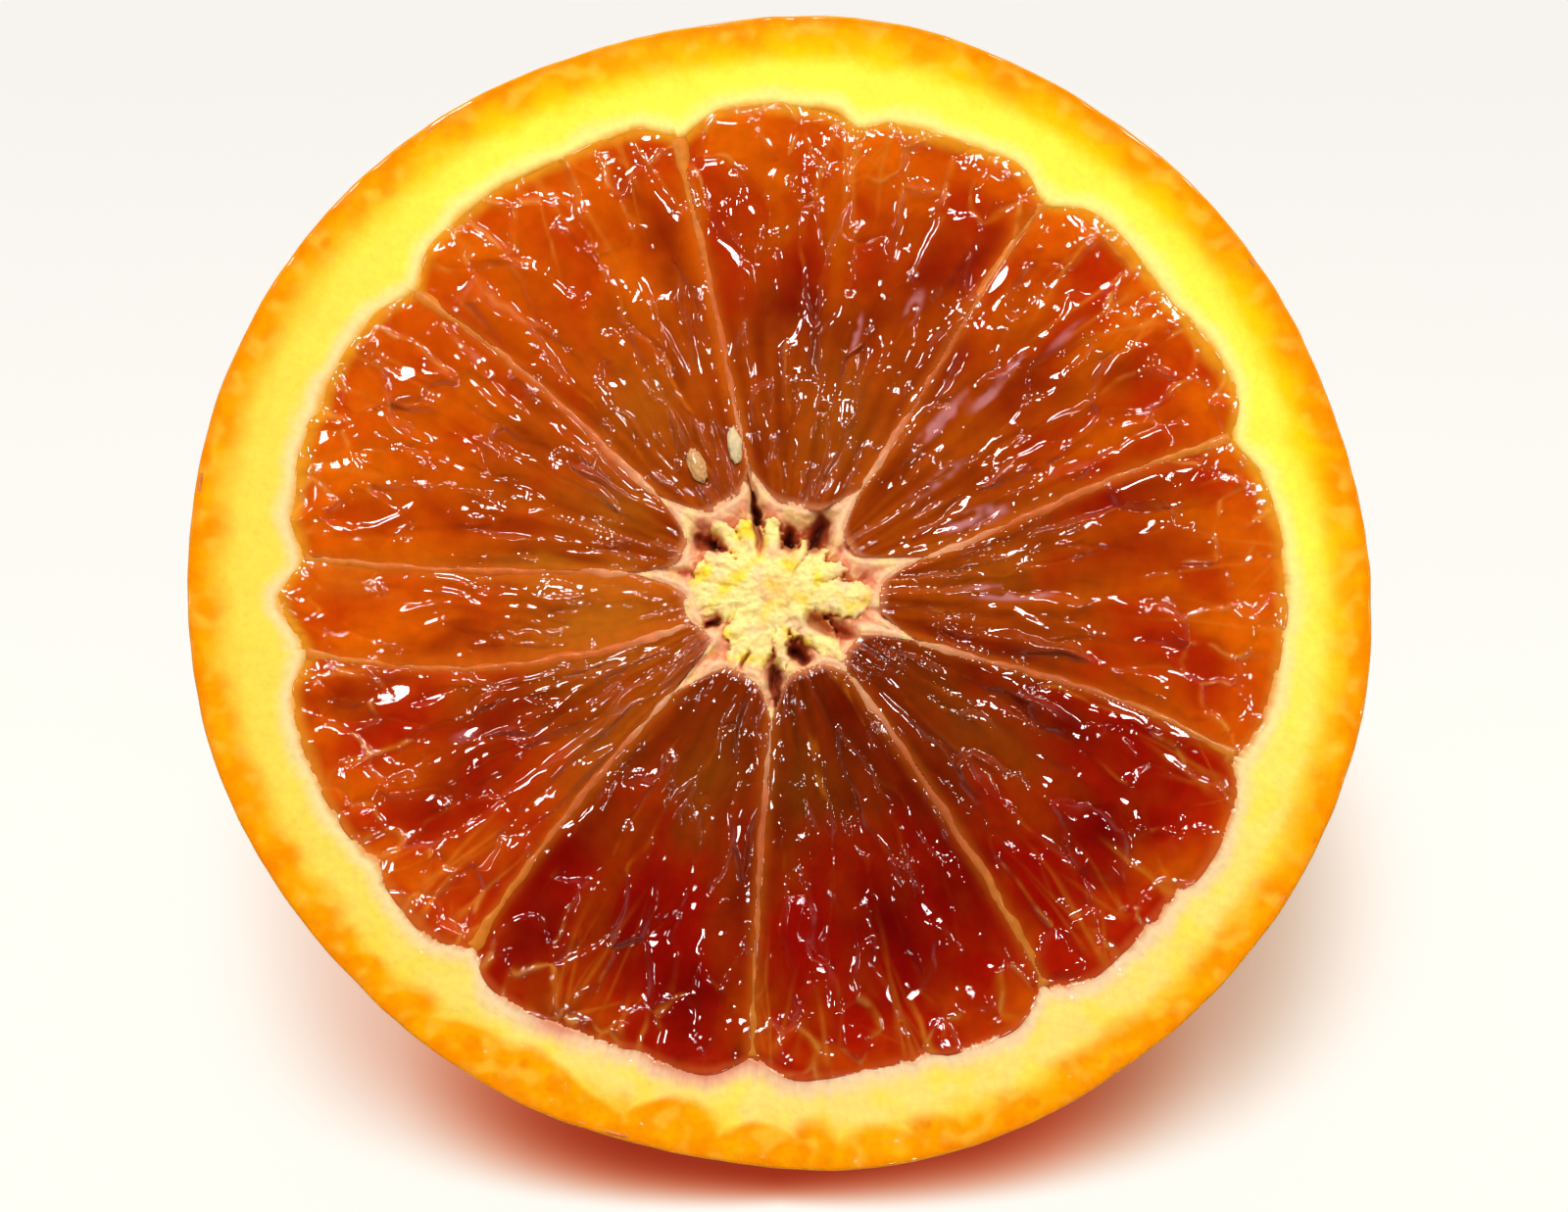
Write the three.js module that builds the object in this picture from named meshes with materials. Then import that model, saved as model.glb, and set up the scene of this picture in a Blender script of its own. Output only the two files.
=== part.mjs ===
// Half of a blood orange, cut across its ten segments and lying on its dome.
//
// The fruit is one solid: the peel with its white pith, the juicy flesh between the
// segment walls, and the ragged open core. Millimetres, +Z up. The origin is the middle
// of the small flat spot that the dome rests on, and the fruit's axis runs up through it.
//
// The surface is one turned profile. Its columns fan out with the segment walls, and
// each ring of the profile is then shaped by the functions below.

import * as THREE from 'three';
import { mergeVertices } from 'three/addons/utils/BufferGeometryUtils.js';

// Driving dimensions, in millimetres.
const MEAN_RADIUS = 35.47;
const CUT_HEIGHT = 34.5;
const REST_RADIUS = 6.5;
const SKIN_THICKNESS = 2.1;
const FLESH_RADIUS = 30.05;
const TIP_RADIUS = 5.75;
const CUT_EDGE = 0.25;

// Relief, in millimetres.
const PEBBLE = { height: 0.1, spacing: 6.5 };
const PITH_SWELL = { height: 0.12, spacing: 5 };
const FLESH_CROWN = 0.42;
const FLESH_GROOVE = 0.28;
const FLESH_LOBE = 0.18;
const VESICLE = { width: 4.2, ridge: 0.32 };
const WALL_NOTCH = { depth: 1.1, width: 1.7 };
const WALL_DIP_WIDTH = 1;
const STAR_ARM = { length: 1.35, width: 0.75, sink: 0.25 };
const TIP_UNEVENNESS = 0.25;
const CORE_DEPTH = 3.4;
const CORE_LUMP_DEPTH = 0.7;
const CORE_CRAG = { height: 0.35, spacing: 2.4 };

// How many columns go round the fruit, and how finely each zone is ringed.
const COLUMNS = 150;
const FEWEST_SEGMENT_COLUMNS = 6;
const DOME_RINGS = 14;
const FLESH_RINGS = 13;

// Where the rings lie, as shares of the way through their zone.
const DOME_END = 0.985;
const MID_PITH = 0.7;
const FLESH_EDGE = 0.97;
const CORE_RINGS = [0.1, 0.24, 0.42, 0.6, 0.8, 1];
const CORE_HOLLOW = { falls: [0.02, 0.2], rises: [0.3, 0.62] };

// The fruit isn't round: waves round its outline, each with its crest at an angle.
const OUTLINE_WAVES = [
  { waves: 1, height: 0.07, crest: 20 },
  { waves: 2, height: 0.55, crest: 160 },
  { waves: 3, height: 0.18, crest: 62 },
  { waves: 4, height: 0.08, crest: 69 },
  { waves: 5, height: 0.13, crest: 68 },
  { waves: 7, height: 0.08, crest: 32 },
  { waves: 9, height: 0.06, crest: 40 },
];
const FLESH_WAVES = [
  { waves: 1, height: 0.2, crest: 327 },
  { waves: 2, height: 0.46, crest: 170 },
  { waves: 3, height: 0.09, crest: 90 },
];

// Two crossing sets of bent waves make every rough surface: the way each set runs, and
// how far and how often its crests bend.
const CRAG_WAVES = [
  { alongX: 1, alongY: 0.35, bend: 1.3, bendAlongX: 0, bendAlongY: 0.61 },
  { alongX: -0.42, alongY: 0.83, bend: 1.7, bendAlongX: 0.53, bendAlongY: 0 },
];

// The vesicles' ridges wander and swell on their way out, each segment's in its own way.
const RIDGE_WANDER = { size: 0.5, rate: 5.1, perSegment: 1.9 };
const RIDGE_SWELL = { low: 0.62, size: 0.38, rate: 9, perRidge: 2.1 };

// The walls between the segments: the angle at the rim, the angle at the core, and how
// far the wall bows to the left of a straight run, all in degrees.
const WALLS = [
  { rim: 18.5, core: 12, bow: 2.5 },
  { rim: 55.8, core: 50.5, bow: 2 },
  { rim: 102.7, core: 104, bow: -0.5 },
  { rim: 140.9, core: 142.5, bow: -2 },
  { rim: 176.1, core: 174, bow: 1.5 },
  { rim: 187.4, core: 202, bow: 1 },
  { rim: 229.5, core: 224.5, bow: 0 },
  { rim: 266.7, core: 266.7, bow: -0.5 },
  { rim: 303.7, core: 309, bow: 0 },
  { rim: 339.7, core: 339, bow: 2.5 },
];

const { degToRad, lerp, smoothstep } = THREE.MathUtils;

function waveSum(waves, angle) {
  return waves.reduce((sum, w) => sum + w.height * Math.cos(w.waves * (angle - degToRad(w.crest))), 0);
}

// A rough bumpiness between -1 and 1, with its bumps a given spacing apart.
function crags(x, y, spacing) {
  const k = (2 * Math.PI) / spacing;
  const heights = CRAG_WAVES.map((w) => {
    const bend = w.bend * Math.sin(k * (w.bendAlongX * x + w.bendAlongY * y));
    return Math.sin(k * (w.alongX * x + w.alongY * y) + bend);
  });
  return (heights[0] + heights[1]) / 2;
}

// The wall on the far side of a segment, with its angles carried past the full turn.
function wallAfter(segment) {
  const next = WALLS[(segment + 1) % WALLS.length];
  const lap = segment + 1 === WALLS.length ? 360 : 0;
  return { rim: next.rim + lap, core: next.core + lap, bow: next.bow };
}

// Each column of the surface lies in one segment, at a share of the way across it.
function makeColumns() {
  const columns = [];
  WALLS.forEach((wall, segment) => {
    const width = wallAfter(segment).rim - wall.rim;
    const count = Math.max(FEWEST_SEGMENT_COLUMNS, Math.round((width * COLUMNS) / 360));
    for (let i = 0; i < count; i += 1) {
      columns.push({ segment, across: i / count });
    }
  });
  return columns;
}

// The angle of a wall at a share of the way from the core (0) to the rim (1).
function wallAngle(wall, out) {
  return degToRad(lerp(wall.core, wall.rim, out) + wall.bow * Math.sin(Math.PI * out));
}

function columnAngle(column, out) {
  const near = wallAngle(WALLS[column.segment], out);
  const far = wallAngle(wallAfter(column.segment), out);
  return lerp(near, far, column.across);
}

function segmentAngle(segment) {
  return wallAngle(wallAfter(segment), 1) - wallAngle(WALLS[segment], 1);
}

// How near a column is to a segment wall: 1 on the wall, falling to 0 over a width.
function wallNearness(column, radius, width) {
  const share = Math.min(column.across, 1 - column.across);
  const distance = share * segmentAngle(column.segment) * radius;
  return Math.exp(-((distance / width) ** 2));
}

function rimRadius(angle) {
  return MEAN_RADIUS + waveSum(OUTLINE_WAVES, angle);
}

// The outer edge of the flesh, lobed, with a notch where each wall meets the pith.
function fleshRadius(column) {
  const notch = WALL_NOTCH.depth * wallNearness(column, FLESH_RADIUS, WALL_NOTCH.width);
  const lobe = FLESH_LOBE * Math.sin(3 * Math.PI * column.across + column.segment);
  return FLESH_RADIUS + waveSum(FLESH_WAVES, columnAngle(column, 1)) + lobe - notch;
}

// The inner end of the flesh: rounded segment tips, with the core's arms between them.
function tipRadius(column) {
  const arm = (1 - Math.sin(Math.PI * column.across)) ** 2;
  return TIP_RADIUS + STAR_ARM.length * arm + TIP_UNEVENNESS * Math.sin(2.3 * column.segment);
}

// Pebbled skin over the dome, from the flat spot (0) up to the cut (1).
function domePoint(column, share) {
  const domeDepth = CUT_HEIGHT / Math.sqrt(1 - (REST_RADIUS / MEAN_RADIUS) ** 2);
  const polar = lerp(Math.acos(CUT_HEIGHT / domeDepth), Math.PI / 2, share);
  const angle = columnAngle(column, 1);
  const uneven = waveSum(OUTLINE_WAVES, angle) * Math.sin(polar) ** 2;
  const pebbles = crags(angle * MEAN_RADIUS, polar * MEAN_RADIUS, PEBBLE.spacing);
  const skin = PEBBLE.height * pebbles * smoothstep(share, 0, 1 / DOME_RINGS);
  const radius = (MEAN_RADIUS + uneven + skin) * Math.sin(polar);
  return { angle, radius, height: CUT_HEIGHT - domeDepth * Math.cos(polar) };
}

// The cut ring of peel and pith, from the skin (0) to the flesh (1).
function rindPoint(column, share) {
  const angle = columnAngle(column, 1);
  const radius = lerp(rimRadius(angle) - CUT_EDGE, fleshRadius(column) + CUT_EDGE, share);
  const swell = crags(radius * Math.cos(angle), radius * Math.sin(angle), PITH_SWELL.spacing);
  return { angle, radius, height: CUT_HEIGHT + PITH_SWELL.height * swell * Math.sin(Math.PI * share) };
}

// The ridges of the juice vesicles that fan out across a segment, between 0 and 1.
function vesicleRidges(column, out) {
  const { segment, across } = column;
  const ridges = Math.max(1, Math.round((segmentAngle(segment) * FLESH_RADIUS) / VESICLE.width));
  const wander = RIDGE_WANDER.size * Math.sin(RIDGE_WANDER.rate * out + RIDGE_WANDER.perSegment * segment);
  const ridge = Math.abs(Math.sin(Math.PI * ridges * across + wander * Math.sin(Math.PI * across)));
  const phase = RIDGE_SWELL.perRidge * Math.floor(ridges * across) + segment;
  return ridge * (RIDGE_SWELL.low + RIDGE_SWELL.size * Math.sin(RIDGE_SWELL.rate * out + phase));
}

// The flesh of a segment, from its rim (1) in to its tip (0): a low crown between the
// walls, with a groove round its rim.
function fleshPoint(column, out) {
  const radius = lerp(tipRadius(column), fleshRadius(column), out);
  const offWall = 1 - wallNearness(column, radius, WALL_DIP_WIDTH);
  const edge = smoothstep(out, FLESH_EDGE, 1);
  const crown = FLESH_CROWN * offWall * (1 - edge);
  const ridges = VESICLE.ridge * (vesicleRidges(column, out) - 0.5) * offWall * smoothstep(out, 0, 0.25);
  const height = CUT_HEIGHT + crown + ridges - FLESH_GROOVE * edge;
  return { angle: columnAngle(column, out), radius, height };
}

// The open core, from the segment tips (0) to the middle (1): a sunken star round a
// ragged lump of pith, whose arms run out along the segment walls.
function corePoint(column, share) {
  const angle = columnAngle(column, 0);
  const radius = tipRadius(column) * (1 - share);
  const arm = wallNearness(column, TIP_RADIUS, STAR_ARM.width);
  const hollow = smoothstep(share, ...CORE_HOLLOW.falls) * (1 - smoothstep(share, ...CORE_HOLLOW.rises));
  const sink = (CORE_DEPTH - CORE_LUMP_DEPTH) * hollow * lerp(1, STAR_ARM.sink, arm);
  const lump = CORE_LUMP_DEPTH * smoothstep(share, 0, CORE_HOLLOW.rises[0]);
  const crag = crags(radius * Math.cos(angle), radius * Math.sin(angle), CORE_CRAG.spacing);
  const ragged = CORE_CRAG.height * crag * smoothstep(share, 0, CORE_HOLLOW.rises[0]);
  return { angle, radius, height: CUT_HEIGHT - sink - lump + ragged };
}

// The rings of the profile in order, from the middle of the flat spot to the core's.
function makeRings() {
  const rings = [(column) => ({ angle: columnAngle(column, 1), radius: 0, height: 0 })];
  for (let i = 0; i <= DOME_RINGS; i += 1) {
    rings.push((column) => domePoint(column, (DOME_END * i) / DOME_RINGS));
  }
  const skinShare = SKIN_THICKNESS / (MEAN_RADIUS - FLESH_RADIUS);
  for (const share of [0, skinShare, MID_PITH, 1]) {
    rings.push((column) => rindPoint(column, share));
  }
  rings.push((column) => fleshPoint(column, 1));
  for (let i = FLESH_RINGS - 1; i >= 0; i -= 1) {
    rings.push((column) => fleshPoint(column, (FLESH_EDGE * i) / (FLESH_RINGS - 1)));
  }
  for (const share of CORE_RINGS) {
    rings.push((column) => corePoint(column, share));
  }
  return rings;
}

function makeOrangeGeometry() {
  const columns = makeColumns();
  const rings = makeRings();
  const profile = rings.map((ring) => {
    const point = ring(columns[0]);
    return new THREE.Vector2(point.radius, point.height);
  });
  const geometry = new THREE.LatheGeometry(profile, columns.length);
  const position = geometry.getAttribute('position');
  for (let i = 0; i <= columns.length; i += 1) {
    rings.forEach((ring, j) => {
      const point = ring(columns[i % columns.length]);
      const x = point.radius * Math.cos(point.angle);
      const y = point.radius * Math.sin(point.angle);
      position.setXYZ(i * rings.length + j, x, y, point.height);
    });
  }
  geometry.deleteAttribute('normal');
  geometry.deleteAttribute('uv');
  const closed = mergeVertices(geometry, 1e-3);
  closed.computeVertexNormals();
  return closed;
}

const orangeMaterial = new THREE.MeshStandardMaterial({ color: 0xe8791c, roughness: 0.4, metalness: 0 });

const orangeHalf = new THREE.Mesh(makeOrangeGeometry(), orangeMaterial);
orangeHalf.name = 'orange_half';

const part = new THREE.Group();
part.add(orangeHalf);

export default part;
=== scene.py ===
# The looks of half a blood orange, lying on its dome with the cut face up.
#
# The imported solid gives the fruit's place and size. Its detailed pieces are worked out here
# with the same outline, segment walls and heights: the peel, the cut ring of rind, ten
# segments of vesicles, the walls between them and the ragged core. Lengths are in
# millimetres until a mesh is made, and then in metres.
import math

import bmesh
import bpy
import numpy as np
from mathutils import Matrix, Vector
from mathutils.kdtree import KDTree


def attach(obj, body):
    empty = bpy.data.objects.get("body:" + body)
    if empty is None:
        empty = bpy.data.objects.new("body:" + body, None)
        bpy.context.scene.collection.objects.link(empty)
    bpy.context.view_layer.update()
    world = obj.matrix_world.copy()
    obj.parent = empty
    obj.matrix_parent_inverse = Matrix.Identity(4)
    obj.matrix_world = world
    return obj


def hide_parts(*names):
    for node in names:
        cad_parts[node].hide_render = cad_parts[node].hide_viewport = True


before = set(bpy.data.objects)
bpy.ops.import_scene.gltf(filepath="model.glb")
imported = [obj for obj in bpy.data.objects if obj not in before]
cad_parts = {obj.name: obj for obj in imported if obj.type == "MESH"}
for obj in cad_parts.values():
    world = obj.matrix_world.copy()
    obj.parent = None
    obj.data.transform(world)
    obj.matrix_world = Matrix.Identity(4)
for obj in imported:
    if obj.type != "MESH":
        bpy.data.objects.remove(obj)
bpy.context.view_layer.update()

MM = 0.001
TURN = 2 * math.pi
NODE = "orange_half"

# Driving dimensions, in millimetres, as in the solid.
MEAN_RADIUS = 35.47
CUT_HEIGHT = 34.5
REST_RADIUS = 6.5
FLESH_RADIUS = 30.05
TIP_RADIUS = 5.75
FLESH_LOBE = 0.18
NOTCH_DEPTH = 1.1
NOTCH_WIDTH = 1.7
SEGMENT_FLOOR = CUT_HEIGHT - 5.6
BOWL_FLOOR = CUT_HEIGHT - 5.9

# How far in under the flesh the ring of rind reaches, in mm.
RIND_OVERLAP = 0.5

# The low corners of the square grids that the flesh and the core are cut from, in mm.
FLESH_GRID = -31.5
CORE_GRID = -10.2

# The shares of the way out at which the flesh begins and ends, and at which the core ends.
FLESH_BEGINS, FLESH_ENDS = -0.004, 1.012
CORE_ENDS = 0.016

# A point's place among the bowed walls is found step by step, in this many rounds.
LOCATE_ROUNDS = 4

# Waves round the outline and round the flesh: how many, how high in mm, crest in degrees.
OUTLINE_WAVES = (
    (1, 0.07, 20), (2, 0.55, 160), (3, 0.18, 62), (4, 0.08, 69), (5, 0.13, 68), (7, 0.08, 32),
    (9, 0.06, 40))
FLESH_WAVES = ((1, 0.2, 327), (2, 0.46, 170), (3, 0.09, 90))

# The segment walls, in degrees: angle at the rim, angle at the core, bow to the left.
WALLS = (
    (18.5, 12, 2.5), (55.8, 50.5, 2), (102.7, 104, -0.5), (140.9, 142.5, -2), (176.1, 174, 1.5),
    (187.4, 202, 1), (229.5, 224.5, 0), (266.7, 266.7, -0.5), (303.7, 309, 0), (339.7, 339, 2.5))
WALL_RIM, WALL_CORE, WALL_BOW = np.radians(np.array(WALLS, float).T)
SEGMENTS = len(WALLS)

# The flesh's inner ends: how far each segment's rounded tip is from the middle, and how far
# out along each wall the core's arm reaches, in mm.
TIPS = (5.0, 5.2, 6.2, 6.3, 5.7, 5.2, 5.6, 5.15, 5.6, 6.2)
ARM_ENDS = (8.9, 7.8, 7.6, 9.2, 8.8, 5.5, 9.0, 8.0, 6.4, 8.8)

# Places where the rind folds in a little without a whole wall: angle in degrees, depth and
# width in mm, and how far the short wall under the fold reaches in.
FOLDS = (
    (80.2, 0.8, 1.1, 7.5), (158.6, 0.35, 0.8, 2.6), (214, 0.45, 0.8, 4), (36, 0.25, 0.9, 4.5),
    (253, 0.3, 0.8, 3.6), (288, 0.25, 0.8, 5), (322, 0.35, 0.9, 6))

# How red each segment's juice is, and how dark the light leaves it, from segment 1 on.
SEGMENT_RED = (0.36, 0.36, 0.14, 0.14, -0.1, 0.68, 0.88, 0.9, 0.82, 0.38)
SEGMENT_DARK = (0.1, 0.16, 0.05, 0.03, -0.1, 0.1, 0.42, 0.54, 0.48, 0.16)

# How many oil glands the cut runs through.
GLANDS = 110

# How many pale fibres run in from the rim of each segment.
FIBRES = (8, 9, 10, 7, 3, 14, 14, 16, 20, 10)

# Dark wine stains in the juice: x, y, half length outwards and half width in mm, and strength.
STAINS = (
    (1, 17.5, 2.8, 2, 0.9), (5.5, 16.5, 2.2, 1.2, 0.6), (9, 19, 3.2, 2, 0.7), (12, 20, 2.4, 0.9, 0.6),
    (15.5, 12.5, 2.8, 2.4, 0.95), (10, 13.5, 2.8, 1.6, 0.85), (21, 13.5, 2.6, 1, 0.5),
    (21, 6, 5, 0.9, 0.5), (12.5, -3.8, 5, 0.9, 0.85), (17.5, -8.5, 2.2, 1, 0.9),
    (19.5, -14.5, 2.2, 1.9, 0.95), (8.6, -12.5, 3.6, 1.5, 0.9), (11, -17.5, 2.8, 1.8, 0.7),
    (6.8, -20, 4, 2.8, 0.95), (4, -7.5, 1.8, 1.2, 0.7), (-1.8, -17.5, 4.2, 1.2, 0.85),
    (-5.5, -25, 3, 2.6, 0.7), (-9, -20.5, 4, 2.4, 0.55), (-15, -21.5, 2.4, 2, 0.7),
    (-13.5, -25.5, 1.4, 2.6, 0.7), (-2.3, -27.8, 1.4, 0.8, 0.6), (-17, -8.5, 4, 2.4, 0.75),
    (-20, -3.4, 3.6, 0.9, 0.7), (-26.5, -7, 1.8, 1.4, 0.35), (-20.5, -13, 3.4, 1.8, 0.6),
    (-13, -16, 3.6, 1.4, 0.6), (-7, 20.5, 4, 1.1, 0.7), (-9, 25, 1.6, 1.2, 0.3),
    (-19.5, 4.6, 3.4, 0.8, 0.5), (-6.3, 4.2, 1.4, 0.7, 0.5), (-1.4, 7.8, 1.8, 0.7, 0.7),
    (13, 6.2, 3, 0.7, 0.4), (-24, 14, 2, 0.9, 0.3), (-25, -6.5, 2.4, 1.8, 0.45),
    (21.5, 3, 3.4, 1.8, 0.4))

# Where the flesh looks golden or olive brown: x, y, half length, half width and strength.
GOLD_FLESH = (
    (-11.5, -2.6, 5, 2.4, 0.85), (-13, 0.9, 6, 0.8, 0.75), (-9.5, 4.6, 3.2, 1.3, 0.5),
    (-9.5, -8.5, 3.6, 1.6, 0.35), (3.5, 10.5, 4, 2.2, 0.35), (-8, 11, 3.6, 2.2, 0.35),
    (1.8, -12, 4, 1.6, 0.45), (-4.5, -11.5, 3.6, 1.8, 0.45), (12.5, -8, 5, 1.6, 0.45),
    (13, 0.8, 4, 1.6, 0.3), (-26, 0.5, 2.2, 1.2, 0.5))

# Painted lilac sheen: soft pale reflections painted into the flesh's colour as streaks. x, y, half length
# outwards, half width and strength.
PAINTED_LILAC_SHEEN = (
    (12, 4.3, 2, 0.6, 0.9), (13.8, -0.2, 2.4, 0.5, 1), (14, 13.8, 1.2, 0.5, 0.7),
    (8.2, 17.2, 1.3, 0.5, 0.65), (4.6, 15.6, 1.4, 0.4, 0.65), (9.8, 10.2, 3, 0.5, 0.6),
    (9.6, 6.6, 2.6, 0.5, 0.5), (-19.5, 0, 1.6, 0.5, 0.4), (-19, -8.8, 1.4, 0.7, 0.35),
    (-17.8, 13.6, 2.6, 0.5, 0.35), (17.5, 15.5, 2, 0.4, 0.45), (12.6, 11.6, 1.4, 0.4, 0.6))

# Smooth wet slopes that catch the light whole: x, y, half length outwards and half width in mm.
# All of them rise along x and y by the same slope.
FACETS = (
    (-23.3, -6.2, 1.5, 0.75), (-21, -6.6, 1.2, 0.3), (-21.8, 6.5, 0.6, 0.35), (-18.6, -8.6, 0.7, 0.35),
    (15.7, 7.6, 0.7, 0.3), (9.2, -2.2, 0.5, 0.25), (2.1, -16.6, 0.5, 0.25), (-4.5, -12.8, 0.4, 0.4),
    (-11.4, 21, 0.4, 0.5))
FACET_SLOPE = (0.11, -0.19)

# Long ridges that draw the light out into lines: x and y in mm, direction in degrees, half length
# and bow in mm.
RIDGES = (
    (-16.1, 4.9, 178, 2.4, 0.3), (-16, 4, 2, 2.2, 0.3), (-12.2, 2.9, 176, 2.4, 0.2),
    (-12, 2.3, 178, 1.8, 0.2), (-20, 0.2, 170, 1.9, -0.3), (-19.8, -0.6, 168, 1.6, -0.3),
    (-20.5, -1.5, 186, 2.8, -0.6), (-19.8, -2.3, 188, 2, -0.5), (-15.4, -1.6, 168, 1.6, -0.4),
    (-15.2, -2.3, 168, 1.3, -0.3), (-24, 4.4, 202, 2.4, 0.4), (-22.5, 9.5, 150, 1.8, 0.3),
    (-17.5, 11.8, 140, 2.4, 0.4), (-16.8, 10.9, 140, 1.8, 0.3), (-9, -4.4, 25, 1.6, 0.2),
    (-12.5, -6.8, 35, 1.4, 0.2), (-19, -10.5, 35, 1.9, 0.3), (-7.8, -0.7, 165, 0.9, 0.1),
    (13.5, 9, 35, 1.6, 0.2), (15.2, 8, 30, 1.8, 0.2), (16.5, 6.4, 25, 1.6, 0.2),
    (13.8, -1.6, 350, 1.5, 0.3), (15.2, -2.4, 345, 1.6, 0.3), (8.6, 11.6, 50, 1.4, 0.2))


# ---- colours and noise

# How bright white paper would lie in the studio's light: pale things burn out, as in the photo.
LIGHT_LEVEL = 1.2


def srgb(r, g, b):
    """The linear colour of a surface that this light shows as a screen colour, in 0 to 255.
    More than 255 burns out."""
    c = np.array((r, g, b), float) / 255
    return np.where(c <= 0.04045, c / 12.92, ((c + 0.055) / 1.055) ** 2.4) / LIGHT_LEVEL


def mix(a, b, share):
    """Blends two colours, or fields of colours, by a share or a field of shares. A plain triple
    of numbers is a screen colour."""
    a, b = (srgb(*colour) if isinstance(colour, tuple) else colour for colour in (a, b))
    share = np.asarray(share, float)[..., None]
    return a * (1 - share) + b * share


def ramp(low, high, x):
    """A smooth rise from 0 where x is low to 1 where it is high, or a fall where low is more."""
    t = np.clip((x - low) / (high - low), 0, 1)
    return t * t * (3 - 2 * t)


def bell(x, width):
    """1 where x is 0, falling smoothly to nothing over a few widths to either side."""
    return np.exp(-(x / width) ** 2)


def noise(size, seed, *position):
    """Smooth seeded noise between about -1 and 1, with bumps of this size, at points in two or
    three dimensions."""
    rng = np.random.default_rng(seed)
    shuffle = rng.permutation(256)
    slopes = rng.normal(size=(256, len(position)))
    slopes /= np.linalg.norm(slopes, axis=1)[:, None]
    position = [p / size for p in position]
    cell = [np.floor(p).astype(int) for p in position]
    inside = [p - c for p, c in zip(position, cell)]
    ease = [t * t * t * (t * (t * 6 - 15) + 10) for t in inside]
    total = 0
    for corner in range(2 ** len(position)):
        step = [(corner >> axis) & 1 for axis in range(len(position))]
        key = 0
        weight = 1
        for axis, s in enumerate(step):
            key = shuffle[(key + cell[axis] + s) & 255]
            weight = weight * (ease[axis] if s else 1 - ease[axis])
        total = total + weight * sum(slopes[key, a] * (inside[a] - s) for a, s in enumerate(step))
    return 1.5 * total


def layered(size, seed, *position, layers=3):
    """Noise with finer layers on top, each half as high and half as wide."""
    return sum(0.5 ** i * noise(size / 2 ** i, seed + i, *position) for i in range(layers))


def line_noise(size, seed, along, lane=0):
    """Noise along a line. Lines in other lanes get other bumps."""
    return noise(1, seed, along / size, lane + 0 * along)


def warped(x, y, far, size, seed):
    """Points pushed about by smooth noise, up to about this far."""
    return x + far * noise(size, seed, x, y), y + far * noise(size, seed + 1, x, y)


def heading(degrees):
    """The steps in x and y of a direction on the cut face."""
    return math.cos(math.radians(degrees)), math.sin(math.radians(degrees))


def outward(x, y):
    """The direction at a place that leads away from the middle of the cut face."""
    away = math.hypot(x, y)
    return x / away, y / away


def turned(x, y, place, direction):
    """How far points are along a direction from a place, and how far to its left."""
    dx, dy = x - place[0], y - place[1]
    c, s = direction
    return dx * c + dy * s, dy * c - dx * s


def turn_from(angle, degrees):
    """The shorter turn to each angle from a direction in degrees."""
    return (angle - math.radians(degrees) + math.pi) % TURN - math.pi


def square_grid(low, pitch):
    """The points of a square grid over the cut face, from one low corner to its opposite."""
    line = low + pitch * np.arange(int(round(-2 * low / pitch)) + 1)
    return np.meshgrid(line, line, indexing="ij")


# ---- the fruit's own shape

def wave_sum(waves, angle):
    return sum(height * np.cos(count * (angle - math.radians(crest))) for count, height, crest in waves)


def wall_angles(out):
    """The angles of all the walls at shares of the way from the core (0) to the rim (1)."""
    out = np.asarray(out, float)[..., None]
    return WALL_CORE + (WALL_RIM - WALL_CORE) * out + WALL_BOW * np.sin(np.pi * out)


def sector(walls, segment):
    """The angle of each point's near wall, and the angle from there to the far one."""
    near, far = (np.take_along_axis(walls, wall[..., None], -1)[..., 0]
                 for wall in (segment, (segment + 1) % SEGMENTS))
    return near, (far - near) % TURN


def column_angle(segment, across, out):
    near, width = sector(wall_angles(out), np.broadcast_to(segment, np.shape(out)))
    return near + across * width


def segment_angle(segment):
    return (WALL_RIM[(segment + 1) % SEGMENTS] - WALL_RIM[segment]) % TURN


def wall_distance(segment, across, radius):
    """How far points of a segment are from its nearer wall, in mm."""
    return np.minimum(across, 1 - across) * segment_angle(segment) * radius


def pebbles(*place):
    """How far the pebbled skin rises at points on a ball of the fruit's size."""
    return 0.1 * noise(2.1, 11, *place) + 0.16 * noise(5.5, 12, *place)


def flesh_radius(segment, across):
    """The outer edge of the flesh, lobed, with a notch at each wall and at each fold."""
    notch = NOTCH_DEPTH * bell(wall_distance(segment, across, FLESH_RADIUS), NOTCH_WIDTH)
    lobe = FLESH_LOBE * np.sin(3 * np.pi * across + segment)
    angle = column_angle(segment, across, np.ones_like(across))
    for fold, depth, width, _ in FOLDS:
        notch = notch + depth * bell(turn_from(angle, fold) * FLESH_RADIUS, width)
    return FLESH_RADIUS + wave_sum(FLESH_WAVES, angle) + lobe - notch


def tip_radius(segment, across):
    """The inner end of the flesh: rounded tips, with the core's arms between them."""
    tip = np.take(TIPS, segment)
    wall = np.where(across < 0.5, segment, (segment + 1) % SEGMENTS)
    arm = (1 - np.sin(np.pi * np.clip(across, 0, 1))) ** 2.2
    return tip + (np.take(ARM_ENDS, wall) - tip) * arm


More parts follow.
